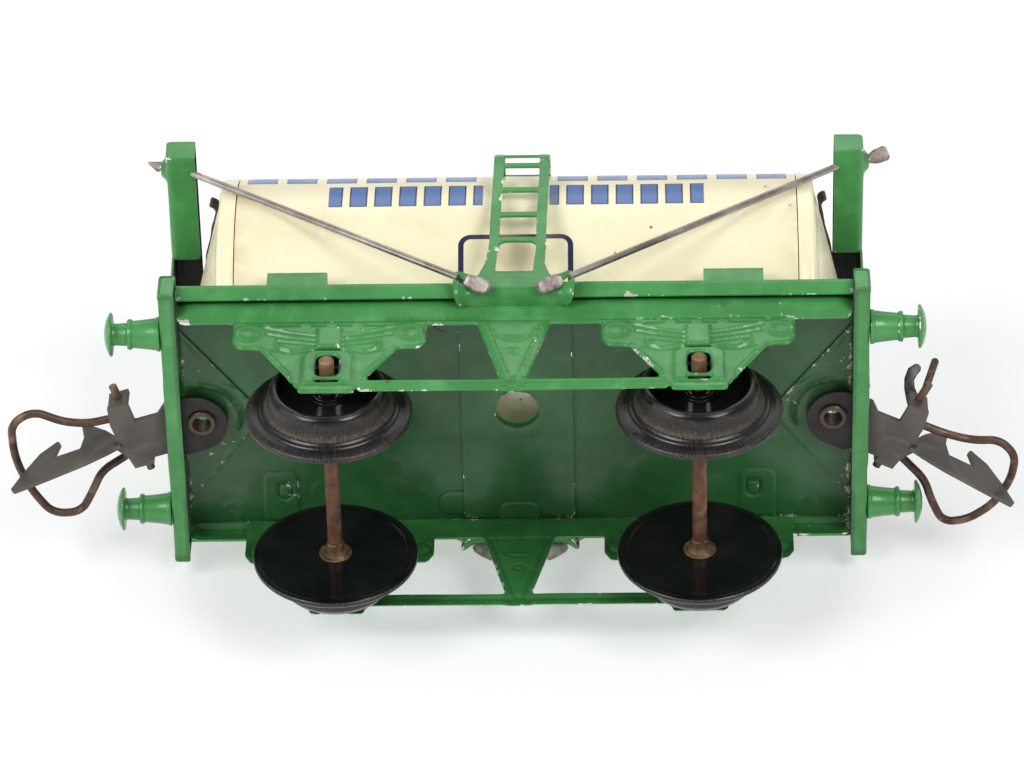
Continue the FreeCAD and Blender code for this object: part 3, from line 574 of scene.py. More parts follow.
def lining(shader, colour, x, angle):
    """Two rows of plain blue bars, and an empty framed panel behind each ladder."""
    def within(value, low, high, soft):
        rise = shader.span(value, low - soft, low + soft)
        fall = shader.span(value, high + soft, high - soft)
        return shader.math("MULTIPLY", rise, fall)

    def both(first, second):
        return shader.math("MULTIPLY", first, second)

    blue, navy = (0.075, 0.15, 0.36), (0.010, 0.014, 0.060)
    wear = shader.span(shader.noise(420, 5.0, 0.7), 0.22, 0.30)
    # Each row: lowest and highest angle, half length, spacing of the bars, and bar's share of it.
    rows = ((-0.055, 0.235, 0.0318, 0.0042, 0.74), (0.325, 0.78, 0.0460, 0.0068, 0.78))
    for low, high, reach, pitch, share in rows:
        phase = shader.math("FRACT", shader.math("DIVIDE", x, pitch), 0.0)
        extent = both(shader.span(x, reach + 0.0001, reach), shader.span(x, 0.0056, 0.0057))
        for inset, tint in ((0.0, navy), (0.011, blue)):
            trim = inset * TANK_R * MM / pitch
            bar = both(within(phase, trim + 0.02, share - trim, 0.012),
                       within(angle, low + inset, high - inset, 0.003))
            colour = shader.mix(both(both(bar, extent), wear), colour, tint)
    # The panel's frame follows a rounded rectangle; distances are in metres round the barrel.
    panel_half, panel_top, panel_foot, corner = 0.0097, -0.345, -0.98, 0.0022
    centre, reach = (panel_top + panel_foot) / 2, (panel_top - panel_foot) / 2 * TANK_R * MM
    offset = shader.math("ABSOLUTE", shader.math("SUBTRACT", angle, centre), 0.0)
    around = shader.math("MULTIPLY", offset, TANK_R * MM)
    dx = shader.math("MAXIMUM", shader.math("SUBTRACT", x, panel_half - corner), 0.0)
    dv = shader.math("MAXIMUM", shader.math("SUBTRACT", around, reach - corner), 0.0)
    away = shader.math("SQRT", shader.math("ADD", both(dx, dx), both(dv, dv)), 0.0)
    gap = shader.math("MAXIMUM", shader.math("SUBTRACT", x, panel_half - corner),
                      shader.math("SUBTRACT", around, reach - corner))
    edge = shader.math("SUBTRACT", shader.math("ADD", away, shader.math("MINIMUM", gap, 0.0)),
                       corner)
    frame_line = within(edge, -0.00092, 0.0, 0.00004)
    return shader.mix(both(frame_line, wear), colour, navy)


GREEN = enamel("green_enamel", (0.056, 0.265, 0.066), (0.092, 0.34, 0.105),
               (0.038, 0.200, 0.045), 0.835)
# Painted shade: a darker copy of the green enamel for the tray's floor, its tongues and the cross
# strap, standing in for the shade inside the tray; its grime is noise-spread dirt.
GREEN_FLOOR_SHADED = enamel("green_floor_shaded", (0.026, 0.118, 0.033), (0.040, 0.150, 0.050),
                     (0.014, 0.078, 0.018), 0.84, grime=0.22, gloss=0.30)
# Painted shade: the gussets on the floor take the same darker copy of the green, with more
# noise-spread dirt and chips down to brass.
GREEN_GUSSET_SHADED = enamel("green_gusset_shaded", (0.026, 0.118, 0.033), (0.040, 0.150, 0.050),
                      (0.014, 0.078, 0.018), 0.735, grime=0.45, gloss=0.30,
                      bare=(0.46, 0.40, 0.24))
# Painted shade: a darker copy of the green enamel for the inner faces of the solebars and axle-guard
# pressings.
GREEN_INNER_SHADED = enamel("green_inner_shaded", (0.030, 0.150, 0.036), (0.050, 0.21, 0.058),
                     (0.020, 0.105, 0.024), 0.80)
GREEN_BEAD = enamel("green_raised", (0.054, 0.250, 0.064), (0.100, 0.36, 0.115),
                    (0.036, 0.190, 0.044), 0.785)
CREAM_BARREL = tank_cream("tank_cream_lined", True)
CREAM = tank_cream("tank_cream", False)
BLACK = wheel_black()
RUST = aged_metal("rusty_steel", (0.175, 0.080, 0.036), (0.30, 0.18, 0.10), (0.07, 0.032, 0.020),
                  0.35, 0.5)
COLLAR = aged_metal("bush_brass", (0.20, 0.125, 0.065), (0.40, 0.28, 0.16), (0.085, 0.05, 0.03),
                    0.55, 0.42)
EYELET = aged_metal("eyelet_steel", (0.030, 0.021, 0.017), (0.12, 0.08, 0.055),
                    (0.010, 0.008, 0.008), 0.3, 0.40)
# Painted shade: the drawbar's disc, within 58.5 mm of the middle, is darkened as if shaded by the
# tray.
BAR = aged_metal("drawbar_steel", (0.048, 0.046, 0.052), (0.150, 0.130, 0.105),
                 (0.020, 0.018, 0.020), 0.45, 0.40, 260.0, 0.0585)
LOOP = aged_metal("loop_wire", (0.115, 0.066, 0.040), (0.26, 0.17, 0.11), (0.042, 0.026, 0.020),
                  0.55, 0.40)
STAY = aged_metal("stay_wire", (0.40, 0.37, 0.34), (0.62, 0.58, 0.54), (0.27, 0.235, 0.20),
                  0.85, 0.27, 160.0)
STAY_END = aged_metal("stay_end", (0.38, 0.32, 0.29), (0.66, 0.60, 0.56), (0.17, 0.12, 0.10),
                      0.4, 0.42, 600.0)
TIN = aged_metal("bare_tin", (0.065, 0.045, 0.03), (0.22, 0.16, 0.10), (0.02, 0.014, 0.010),
                 0.7, 0.36)
INSIDE = enamel("dark_inside", (0.010, 0.013, 0.010), (0.02, 0.03, 0.02), (0.006, 0.007, 0.006),
                0.95, gloss=0.5)


# ---------------------------------------------------------------- underframe sheets
def floor_holes():
    """The holes that the deck and the tray's floor share."""
    return [ring(HOLE, HOLE_R)] + [ring((sign * PIVOT_X, 0), RIVET_R, 24) for sign in ENDS.values()]


def make_deck():
    """Floor sheet with both long edges folded down and a little in."""
    half, foot = deck_high.y, deck_low.z
    fold = Fold([(-half + 0.8, foot), (-half, DECK_TOP), (half, DECK_TOP), (half - 0.8, foot)],
                0.8)

    def place(u, v, w):
        y, z = fold.at(v, w)
        return (u, y, z)

    def lift(u, v, edge):
        return ripple(u, v, 26, 0.10, 3.0) * ramp(edge, 0.3, 3.0)

    reach = fold.length / 2
    outline = rounded(rectangle(-deck_high.x, -reach, deck_high.x, reach), 0.5)
    shell = sheet(outline, place, SHEET, (1.1, 0.5), floor_holes(), lift, roll=0.12,
                  roll_width=0.5)
    Build().add(*shell).piece("deck_sheet", GREEN, replaces=["deck_plate"], slot="green_enamel")


def make_tray():
    """Tray floor, the two solebars with their rolled bead, and the tongues of the pressings."""
    wall = tray_high.y
    reach_y = wall - SHEET
    for side in SIDES.values():
        def place(u, v, w, side=side):
            return (u, side * (wall + w), v)

        def lift(u, v, edge):
            bead = 0.85 * ramp(v, 28.9, 31.6) * (1 - ramp(v, 32.7, 33.2))
            hem = -0.25 * (1 - ramp(v, SOLEBAR_FOOT, SOLEBAR_FOOT + 0.9))
            return bead * ramp(edge, 0.2, 1.4) + hem + ripple(u, v, 15, 0.12, 7.0)

        outline = rounded(rectangle(-tray_high.x, SOLEBAR_FOOT, tray_high.x, tray_high.z),
                          [1.6, 1.6, 0, 0])
        name = "front" if side < 0 else "rear"
        shell = sheet(outline, place, SHEET, (1.2, 0.3), lift=lift, flip=side > 0)
        # The inner faces take the darker copy of the green, painted shade.
        Build().add_sheet(*shell).piece("solebar_sheet_" + name, GREEN_BEAD, under=GREEN_INNER_SHADED,
                                        replaces=["solebar_" + name], slot="green_enamel")

    def floor_place(u, v, w):
        return (u, v, FLOOR - w)

    dimples = [(s * 33.1, t * 16.2, 1.7) for s in ENDS.values() for t in (1, -1)]
    dimples += [(s * 48.8, t * 20.4, 1.6) for s in ENDS.values() for t in (1, -1)]

    def floor_lift(u, v, edge):
        height = ripple(u, v, 22, 0.22, 11.0)
        for x, y, radius in dimples:
            height += 0.16 * ridge(math.hypot(u - x, v - y) - radius, 0.28)
        return height

    outline = rectangle(-tray_high.x, -reach_y, tray_high.x, reach_y)
    shell = sheet(outline, floor_place, SHEET, 0.62, floor_holes(), floor_lift, flip=True)
    # The floor takes the darker copy of the green, painted shade.
    Build().add(*shell).piece("tray_sheet", GREEN_FLOOR_SHADED, replaces=["tray_floor"], slot="green_enamel")

    def pad(name, outline, level=0.28, holes=()):
        def place(u, v, w):
            return (u, v, FLOOR - level - w)
        shell = sheet(outline, place, level, 0.35, holes, roll=0.16, roll_width=0.4, flip=True,
                      lift=lambda u, v, edge: ripple(u, v, 22, 0.22, 11.0))
        # The pads take the darker copy of the green, painted shade.
        Build().add(*shell).piece(name, GREEN_FLOOR_SHADED, slot="green_enamel")

    for end, x_sign in ENDS.items():
        for side, y_sign in SIDES.items():
            corners = [(37.4, 22.5), (37.4, 12.1), (43.5, 12.1), (43.5, 22.5)]
            shape = rounded(turned(corners, x_sign, y_sign), [0, 1.7, 1.7, 0])
            slot = [(38.5, 14.4), (40.9, 14.4), (40.9, 17.2), (39.6, 18.0), (38.5, 17.2)]
            cut = rounded(turned(slot, x_sign, y_sign), 0.5)
            pad(f"tongue_{side}_{end}", shape, holes=[cut])
            lug = [(38.7, 14.8), (40.6, 14.8), (40.6, 17.0), (39.6, 17.7), (38.7, 17.0)]
            pad(f"tongue_lance_{side}_{end}", rounded(turned(lug, x_sign, y_sign), 0.5), 0.42)
    for side, y_sign in SIDES.items():
        tongue = [(-3.4, 22.5), (-3.4, 18.6), (3.4, 18.6), (3.4, 22.5)]
        pad("middle_tongue_" + side, rounded(turned(tongue, 1, y_sign), [0, 1.8, 1.8, 0]), 0.62)
        tab = [(-9.0, 16.6), (-12.0, 16.6), (-13.8, 17.6), (-13.8, 20.3), (-12.0, 21.4),
               (-9.0, 21.4)]
        pad("round_tab_" + side,
            rounded(turned(tab, 1, y_sign), [0, 1.5, 1.5, 1.5, 1.5, 0]), 0.34)


def make_cross_strap():
    """Plate across the floor; its edges stand a little off the floor."""
    half_x, half_y = strap_high.x, strap_high.y

    def place(u, v, w):
        return (u, v, strap_low.z - w)

    def lift(u, v, edge):
        curl = 0.22 * ramp(abs(u), half_x - 1.2, half_x)
        return curl + ripple(u, v, 16, 0.16, 5.0)

    outline = rounded(rectangle(-half_x, -half_y, half_x, half_y), 0.8)
    shell = sheet(outline, place, PLATE, 0.6, [ring(HOLE, HOLE_R)], lift, roll=0.1,
                  flip=True)
    # The strap takes the darker copy of the green, painted shade.
    Build().add(*shell).piece("strap_sheet", GREEN_FLOOR_SHADED, replaces=["cross_strap"],
                              slot="green_enamel")


def make_gusset(end, sign):
    """Triangular plate with a raised rim round the drawbar's disc, chipped to bare metal."""
    level = gusset_low.z

    def place(u, v, w):
        return (sign * u, v, level - w)

    def lift(u, v, edge):
        away = math.hypot(u - PIVOT_X, v)
        inward = ramp(54.0 - u, -1.5, 1.5)
        rim = 0.60 * ridge(away - 6.4, 0.30) * inward * ramp(3.0 - v, -1, 1.5)
        line = 0.14 * ridge(away - 8.2, 0.22) * ramp(-v, 3.0, 5.0)
        hem = 0.25 * (1 - ramp(edge, 0.2, 1.3))
        return rim + line + hem + ripple(u, v, 12, 0.12, sign * 4.0)

    outline = rounded([(gusset_high.x, -17.7), (gusset_high.x, 17.7), (gusset_low.x, 2.0),
                       (gusset_low.x, -2.0)], [0, 0, 1.5, 1.5])
    shell = sheet(outline, place, PLATE, 0.42, [ring((PIVOT_X, 0), RIVET_R, 24)], lift,
                  roll=0.12, flip=sign > 0)
    # The gusset takes the darker copy of the green, painted shade.
    Build().add(*shell).piece("gusset_sheet_" + end, GREEN_GUSSET_SHADED, replaces=["gusset_" + end],
                              slot="green_enamel")


def make_headstock(end, sign):
    """Folded end beam with closed ends; its back is open."""
    near, far = stock_low.x, stock_high.x
    low, high, half = stock_low.z, stock_high.z, stock_high.y
    fold = Fold([(near, high), (far, high), (far, low), (near, low)], 0.7)

    def place(u, v, w):
        x, z = fold.at(v, w)
        return (sign * x, u, z)

    def lift(u, v, edge):
        return (ripple(u, v, 14, 0.12, sign * 9.0) - 0.14) * ramp(edge, 0.2, 1.5)

    reach = fold.length / 2
    outline = rounded(rectangle(-half, -reach, half, reach), 0.4)
    middle = (low + high) / 2 + 0.2
    slot_foot, slot_top = 30.7, 33.1
    slot = rounded(rectangle(-9, middle - slot_top, 9, middle - slot_foot), 0.5)
    build = Build()
    build.add(*sheet(outline, place, SHEET, (0.9, 0.35), [slot], lift, roll=0.1,
                     flip=sign < 0))
    for side in SIDES.values():
        def cap_place(u, v, w, side=side):
            return (sign * u, side * (half + w), v)
        cap = rounded(rectangle(near + 0.1, low + 0.15, far - 0.1, high - 0.15),
                      [0.3, 0.9, 0.9, 0.3])
        build.add(*sheet(cap, cap_place, SHEET, 0.35, roll=0.3, roll_width=0.7,
                         flip=side * sign > 0))
    build.piece("headstock_sheet_" + end, GREEN, replaces=["headstock_" + end],
                slot="green_enamel")


# ---------------------------------------------------------------- axle guard pressings
# Lines of the spring's leaves, as distances from the guard's middle and heights.
LEAVES = [[(2.0, 24.1), (6.7, 25.2), (10.8, 26.7)], [(2.0, 22.85), (6.7, 23.75), (10.2, 24.9)],
          [(2.1, 21.6), (5.3, 22.2), (8.4, 22.9)],
          [(2.2, 20.5), (4.3, 20.3), (6.2, 19.9), (7.6, 20.6), (8.6, 21.7)]]


def guard_lift(a, v):
    """Height of one axle guard's pressing; a is measured from its middle, v from the rails."""
    side = abs(a)
    height = 0.0
    for leaf in LEAVES:
        height = max(height, 0.50 * ridge(near_line(side, v, leaf), 0.31))
    spring = ramp(v, 19.6, 20.8) * (1 - ramp(v, 26.6, 27.6)) * (1 - ramp(side, 9.5, 11.5))
    height += 0.22 * spring
    buckle = (1 - ramp(side, 1.75, 2.15)) * ramp(v, 20.0, 20.5) * (1 - ramp(v, 25.7, 26.4))
    height = max(height, 0.95 * buckle)
    bridge_top = 19.9 - 1.0 * ramp(side, 2.4, 4.2)
    bridge = (1 - ramp(side, 3.7, 4.5)) * (1 - ramp(v, bridge_top - 0.7, bridge_top))
    height = max(height, 0.75 * bridge * ramp(v, 9.9, 11.2))
    foot = (1 - ramp(v, 9.6, 10.6)) * (1 - ramp(side, 4.7, 5.6))
    height = max(height, 0.62 * foot)
    flange = near_line(side, v, [(11.0, 20.8), (6.3, 13.4)])
    height = max(height, 0.40 * ridge(flange, 0.55))
    ear = math.hypot(side - 13.5, v - 25.2)
    height += 0.38 * ridge(ear - 1.75, 0.42) * ramp(v, 21.5, 22.6)
    height += 0.45 * ridge(math.hypot(side - 11.9, v - 26.3), 1.0)
    for spot in (-4.6, -0.3, 4.0):
        height += 0.40 * ridge(math.hypot(a - spot, (v - 27.7) * 1.4), 0.85)
    return height * (1 - ramp(v, 27.7, 28.2))


def hanger_lift(u, v):
    """Height of the V hanger's pressing; it narrows from 5.75 at the solebar to 1.55."""
    side = abs(u)
    if v < 11.5 or side > 6.5:
        return 0.0
    half = 1.55 + (5.75 - 1.55) * (v - 12.0) / 16.3
    rim = 0.42 * ridge(half - side - 0.75, 0.38)
    bowl = 0.30 * ridge(math.hypot(u, v - 19.7) - 0.7, 0.35)
    brow = near_line(side, v, [(0, 22.6), (1.3, 22.9), (2.2, 23.6)])
    shelf = 0.28 * ramp(v, 23.2, 24.2) * (1 - ramp(side, half - 1.9, half - 1.2))
    return (max(rim, bowl, shelf, 0.25 * ridge(brow, 0.3))) * (1 - ramp(v, 27.6, 28.1))


def bar_lift(u, v):
    """Height of the tie bar: a rib along it and a boss under the hanger."""
    if v > 12.9:
        return 0.0
    rib = 0.30 * ridge(v - 11.2, 0.55)
    boss = 0.65 * ridge(abs(u) - 1.4, 0.55) * ridge(v - 11.2, 0.9)
    knot = 0.55 * ridge(math.hypot(u, v - 11.6), 0.7)
    return max(rib, boss, knot)


def guard_outline():
    """Outer edge of the whole pressing and the two gaps between guards and hanger."""
    centre = AXLE_X
    top = guard_high.z - 0.7
    outer = [(centre + 16, top), (centre + 16, 23.4), (centre + 14.9, 21.4), (centre + 12.3, 21.3),
             (centre + 11.4, 20.9), (centre + 4.9, 10.4), (centre + 4.5, 8.2),
             (centre - 4.5, 8.2), (centre - 4.7, 9.5), (3.0, 9.5), (1.2, 9.2)]
    radii = [0, 1.6, 1.0, 0.5, 0.8, 0.6, 0.7, 0.7, 0.6, 0.8, 0.6]
    loop = rounded(mirrored(outer), radii + radii[::-1])
    gap = [(2.2, 12.3), (6.1, 27.9), (centre - 16, 27.9), (centre - 16, 23.4),
           (centre - 14.9, 21.4), (centre - 12.3, 21.3), (centre - 11.4, 20.9),
           (centre - 6.1, 12.3)]
    gap_radii = [0.5, 0.6, 0.4, 1.6, 1.0, 0.5, 0.8, 0.6]
    gaps = [rounded(turned(gap, sign), gap_radii) for sign in ENDS.values()]
    # The axle's slot, the lance above it and the slot in the foot, with their corners' radii.
    openings = [(rectangle(-1.9, 12.4, 1.9, 18.4), 1.2), (rectangle(-2.1, 19.9, 2.1, 20.35), 0.15),
                (rectangle(-1.95, 10.95, 1.95, 11.75), 0.35)]
    holes = [rounded([(sign * centre + u, v) for u, v in shape], radius)
             for sign in ENDS.values() for shape, radius in openings]
    return loop, gaps + holes


def make_side_frame(side, sign):
    """Axle guards, V hanger and tie bar as one embossed pressing."""
    face = guard_high.y
    outline, holes = guard_outline()

    def place(u, v, w):
        return (u, sign * (face + w), v)

    def lift(u, v, edge):
        height = ripple(u, v, 9, 0.10, sign * 2.0) * (1 - ramp(v, 27.5, 28.2))
        nearest = min(abs(u - AXLE_X), abs(u + AXLE_X))
        if nearest < 16.5:
            height += guard_lift(abs(u) - AXLE_X, v)
        if abs(u) < 6.5:
            height += max(hanger_lift(u, v), bar_lift(u, v))
        elif nearest > 5.5:
            height += bar_lift(u, v)
        return height

    shell = sheet(outline, place, PRESS, (0.42, 0.19), holes, lift, roll=0.30, roll_width=0.6,
                  flip=sign > 0)
    # The inner faces take the darker copy of the green, painted shade.
    Build().add_sheet(*shell).piece("guard_pressing_" + side, GREEN_BEAD, under=GREEN_INNER_SHADED,
                                    replaces=["side_frame_" + side], slot="green_enamel", sharp=60)


# ---------------------------------------------------------------- running gear
def spin_attributes(piece, centre, rows):
    """Give each vertex its direction round the axle, and how worn its place is.

    Each row: lowest and highest distance from the wheel's back, inner and outer radius, and wear.
    The scales stretch the scratches round the axle.
    """
    round_scale, along_scale = 42, 0.35
    mesh = piece.data
    directions, worn = [], []
    for vert in mesh.vertices:
        spot = vert.co / MM - Vector(centre)
        along = abs(spot.y)
        radius = math.hypot(spot.x, spot.z)
        directions += [spot.x / radius * round_scale, spot.z / radius * round_scale,
                       along * along_scale]
        amount = 0.0
        for low, high, inner, outer, level in rows:
            if low <= along <= high and inner <= radius <= outer:
                amount = level
        worn.append(amount)
    mesh.attributes.new("spin", "FLOAT_VECTOR", "POINT")
    mesh.attributes["spin"].data.foreach_set("vector", directions)
    mesh.attributes.new("band", "FLOAT", "POINT")
    mesh.attributes["band"].data.foreach_set("value", worn)


# Half section of a wheel: distance outwards from its back, and radius.
WHEEL = [(0, 2.2), (0, 11.9), (-0.15, 12.2), (-0.15, 12.9), (0, 13.2), (0, 13.5), (0.2, 13.75),
         (0.7, 13.78), (1.05, 13.5), (1.3, 12.6), (1.4, 11.75), (1.62, 11.55), (1.75, 11.1),
         (2.05, 10.85), (2.2, 10.45), (2.7, 10.2), (3.6, 10.05), (4.8, 9.85), (5.4, 9.45),
         (5.7, 9.2), (5.75, 9.1), (5.98, 9.0), (5.98, 8.4), (5.6, 8.25), (4.4, 7.9),
         (4.05, 7.4), (3.9, 5.8), (3.95, 3.2), (4.1, 2.8), (4.6, 2.6), (4.9, 2.3), (4.9, 1.27),
         (0.4, 1.27)]


def make_wheel(end, x_sign, side, y_sign):
    """Wheel with a rolled flange, a hollowed tread root and a dished face."""
    centre = (x_sign * AXLE_X, y_sign * wheel_low.y, AXLE_Z)
    profile = rounded(WHEEL, 0.16, 3)
    build = Build().add(*lathe(profile, centre, (0, y_sign, 0), 128, closed=True))
    piece = build.piece(f"wheel_turned_{end}_{side}", BLACK, "wheelset_" + end,
                        replaces=[f"wheel_{end}_{side}"], slot="black_enamel", sharp=50)
    spin_attributes(piece, centre, [(2.15, 3.5, 9.9, 10.6, 1.0), (3.5, 4.9, 9.7, 10.2, 0.35),
                                    (1.2, 2.1, 10.8, 12.7, 0.12), (5.6, 6.1, 8.0, 9.3, 0.12),
                                    (0.1, 1.1, 13.4, 13.9, 0.35)])


def make_axle(end, sign):
    """Drawn steel pin with slightly rounded ends."""
    reach = axle_high.y
    profile = [(-reach, 0), (-reach, 0.9), (-reach + 0.3, 1.25), (-18, 1.25), (-6, 1.23), (0, 1.25),
               (7, 1.22), (18, 1.25), (reach - 0.3, 1.25), (reach, 0.9), (reach, 0)]
    build = Build().add(*lathe(profile, (sign * AXLE_X, 0, AXLE_Z), (0, 1, 0), 40))
    build.piece("axle_pin_" + end, RUST, "wheelset_" + end, replaces=["axle_" + end],
                slot="rusty_steel")


def make_collar(end, x_sign, side, y_sign):
    """Bush behind a wheel, nicked where it was crimped on the axle."""
    centre = (x_sign * AXLE_X, y_sign * wheel_low.y, AXLE_Z)
    profile = rounded([(0, 1.26), (0, 2.75), (0.3, 2.75), (0.42, 2.1), (0.75, 1.95),
                       (0.85, 1.5), (2.3, 1.45), (2.5, 1.38), (2.5, 1.26)], 0.10, 3)
    verts, faces = lathe(profile, centre, (0, -y_sign, 0), 48, closed=True)
    shaped = []
    for vert in verts:
        spot = Vector(vert) - Vector(centre)
        along = abs(spot.y)
        for nick in (0.9, 3.0, 5.1):
            away = math.remainder(math.atan2(spot.z, spot.x) - nick, 2 * math.pi)
            press = 0.16 * ridge(away, 0.25) * ramp(along, 0.7, 1.6)
            spot.x *= 1 - press
            spot.z *= 1 - press
        shaped.append(Vector(centre) + spot)
    Build().add(shaped, faces).piece(f"crimped_collar_{end}_{side}", COLLAR, "wheelset_" + end,
                                     replaces=[f"wheel_collar_{end}_{side}"], slot="rusty_steel")


# Half section of a buffer: distance out from the headstock, and radius.
BUFFER = [(0, 0), (0, 2.95), (0.45, 2.9), (0.8, 2.72), (2.2, 2.52), (4.5, 2.28), (4.72, 2.48),
          (5.0, 2.62), (5.4, 2.5), (5.55, 1.95), (7.4, 1.82), (7.9, 1.95), (7.95, 3.5),
          (8.15, 3.72), (8.4, 3.6), (8.8, 2.9), (9.1, 2.0), (9.3, 1.0), (9.3, 0)]


def make_buffer(end, x_sign, side, y_sign):
    """Turned buffer: tapered barrel, ring, shank and rounded head."""
    centre = (x_sign * stock_high.x, y_sign * (buffer_low.y + buffer_high.y) / 2,
              (buffer_low.z + buffer_high.z) / 2)
    profile = rounded(BUFFER, 0.14, 3, closed=False)
    build = Build().add(*lathe(profile, centre, (x_sign, 0, 0), 72))
    build.piece(f"buffer_turned_{side}_{end}", GREEN, replaces=[f"buffer_{side}_{end}"],
                slot="green_enamel", sharp=50)


# ---------------------------------------------------------------- tank
def make_tank():
    """Barrel with a lap seam at each end cap and slight dents."""
    length = barrel_high.x
    verts = []
    faces = []
    rows, cols = 97, 200
    for shell in (0, 1):
        for row in range(rows):
            x = -length + 2 * length * row / (rows - 1)
            for col in range(cols):
                angle = 2 * math.pi * col / cols
                dent = ripple(x, angle * 20, 17, 0.07, 2.0) * ramp(length - abs(x), 0.5, 5)
                curl = 0.10 * ridge(length - abs(x), 0.8)
                radius = TANK_R - 0.02 + dent - curl - shell * SHEET
                verts.append((x, radius * math.cos(angle), TANK_Z + radius * math.sin(angle)))
    for shell in (0, 1):
        for row in range(rows - 1):
            for col in range(cols):
                a = (shell * rows + row) * cols + col
                b = (shell * rows + row) * cols + (col + 1) % cols
                face = (a, b, b + cols, a + cols)
                faces.append(face if shell else face[::-1])
    for row in (0, rows - 1):
        for col in range(cols):
            a = row * cols + col
            b = row * cols + (col + 1) % cols
            face = (a, b, b + rows * cols, a + rows * cols)
            faces.append(face if row == 0 else face[::-1])
    Build().add(verts, faces).piece("tank_lined_barrel", CREAM_BARREL, replaces=["tank_barrel"],
                                    slot="cream_enamel", sharp=60)


def cone_x(reach):
    """Where the cap's shallow cone stands along X, at a distance from the tank's axis."""
    return 56.3 - 0.262 * reach


def make_tank_end(end, sign):
    """Cap with a raised seam lip, a short skirt and a shallow cone with a rounded tip."""
    seam = barrel_high.x
    radius = TANK_R
    profile = [(0.15, radius - SHEET), (0.15, radius + 0.12), (0.5, radius + 0.16),
               (0.9, radius + 0.10), (1.3, radius), (2.2, radius), (2.7, radius - 0.05),
               (3.0, radius - 0.35)]
    for share in range(1, 13):
        reach = (radius - 0.7) * (1 - share / 12)
        tip = 0.55 * math.exp(-(reach / 2.6) ** 2)
        profile.append((cone_x(reach) - tip - seam, reach))
    inner = [(x - SHEET, max(0.0, r - 0.1)) for x, r in reversed(profile[6:])]
    shell = lathe(profile + inner + [(0.6, radius - SHEET)], (sign * seam, 0, TANK_Z),
                  (sign, 0, 0), 160)
    Build().add(*shell).piece("tank_cap_" + end, CREAM, replaces=["tank_end_" + end],
                              slot="cream_enamel", sharp=60)


def make_saddle(end, sign):
    """Pressed cradle: two curved walls joined along the deck, open below."""
    near, far = saddle_low.x, saddle_high.x
    half, top = saddle_high.y, saddle_high.z
    bottom = saddle_low.z
    build = Build()
    hug = TANK_R + 0.08

    def crest(y):
        return min(top, TANK_Z - math.sqrt(max(0.0, hug ** 2 - y ** 2)))

    fold = Fold([(half, bottom), (half, top), (half - 2.2, top)], 0.8, start=0.0)
    for x in (near, far):
        def wall_place(u, v, w, x=x):
            way = -1 if x == near else 1
            return (sign * (x + way * w), u, v)
        upper = [(y, crest(y) - 0.05) for y in np.linspace(half - 0.1, -half + 0.1, 31)]
        outline = [(-half + 0.1, bottom), (half - 0.1, bottom)] + upper
        build.add(*sheet(outline, wall_place, PRESS, 0.7,
                         flip=(x == near) == (sign > 0)))
    for side in SIDES.values():
        def end_place(u, v, w, side=side):
            y, z = fold.at(v, w)
            return (sign * u, side * y, z)
        outline = rounded(rectangle(near, 0, far, fold.length), 0.5)
        build.add(*sheet(outline, end_place, PRESS, 0.5, roll=0.35, roll_width=0.9,
                         flip=side * sign < 0))
    build.piece("saddle_pressing_" + end, GREEN, replaces=["saddle_" + end],
                slot="green_enamel")


# ---------------------------------------------------------------- end frames
LEAN = {"left": 0.85, "right": 0.0}     # how far the top of an end frame leans outwards
BOSS_Y, BOSS_Z = 23.8, 72.6             # the bosses that the stays start from


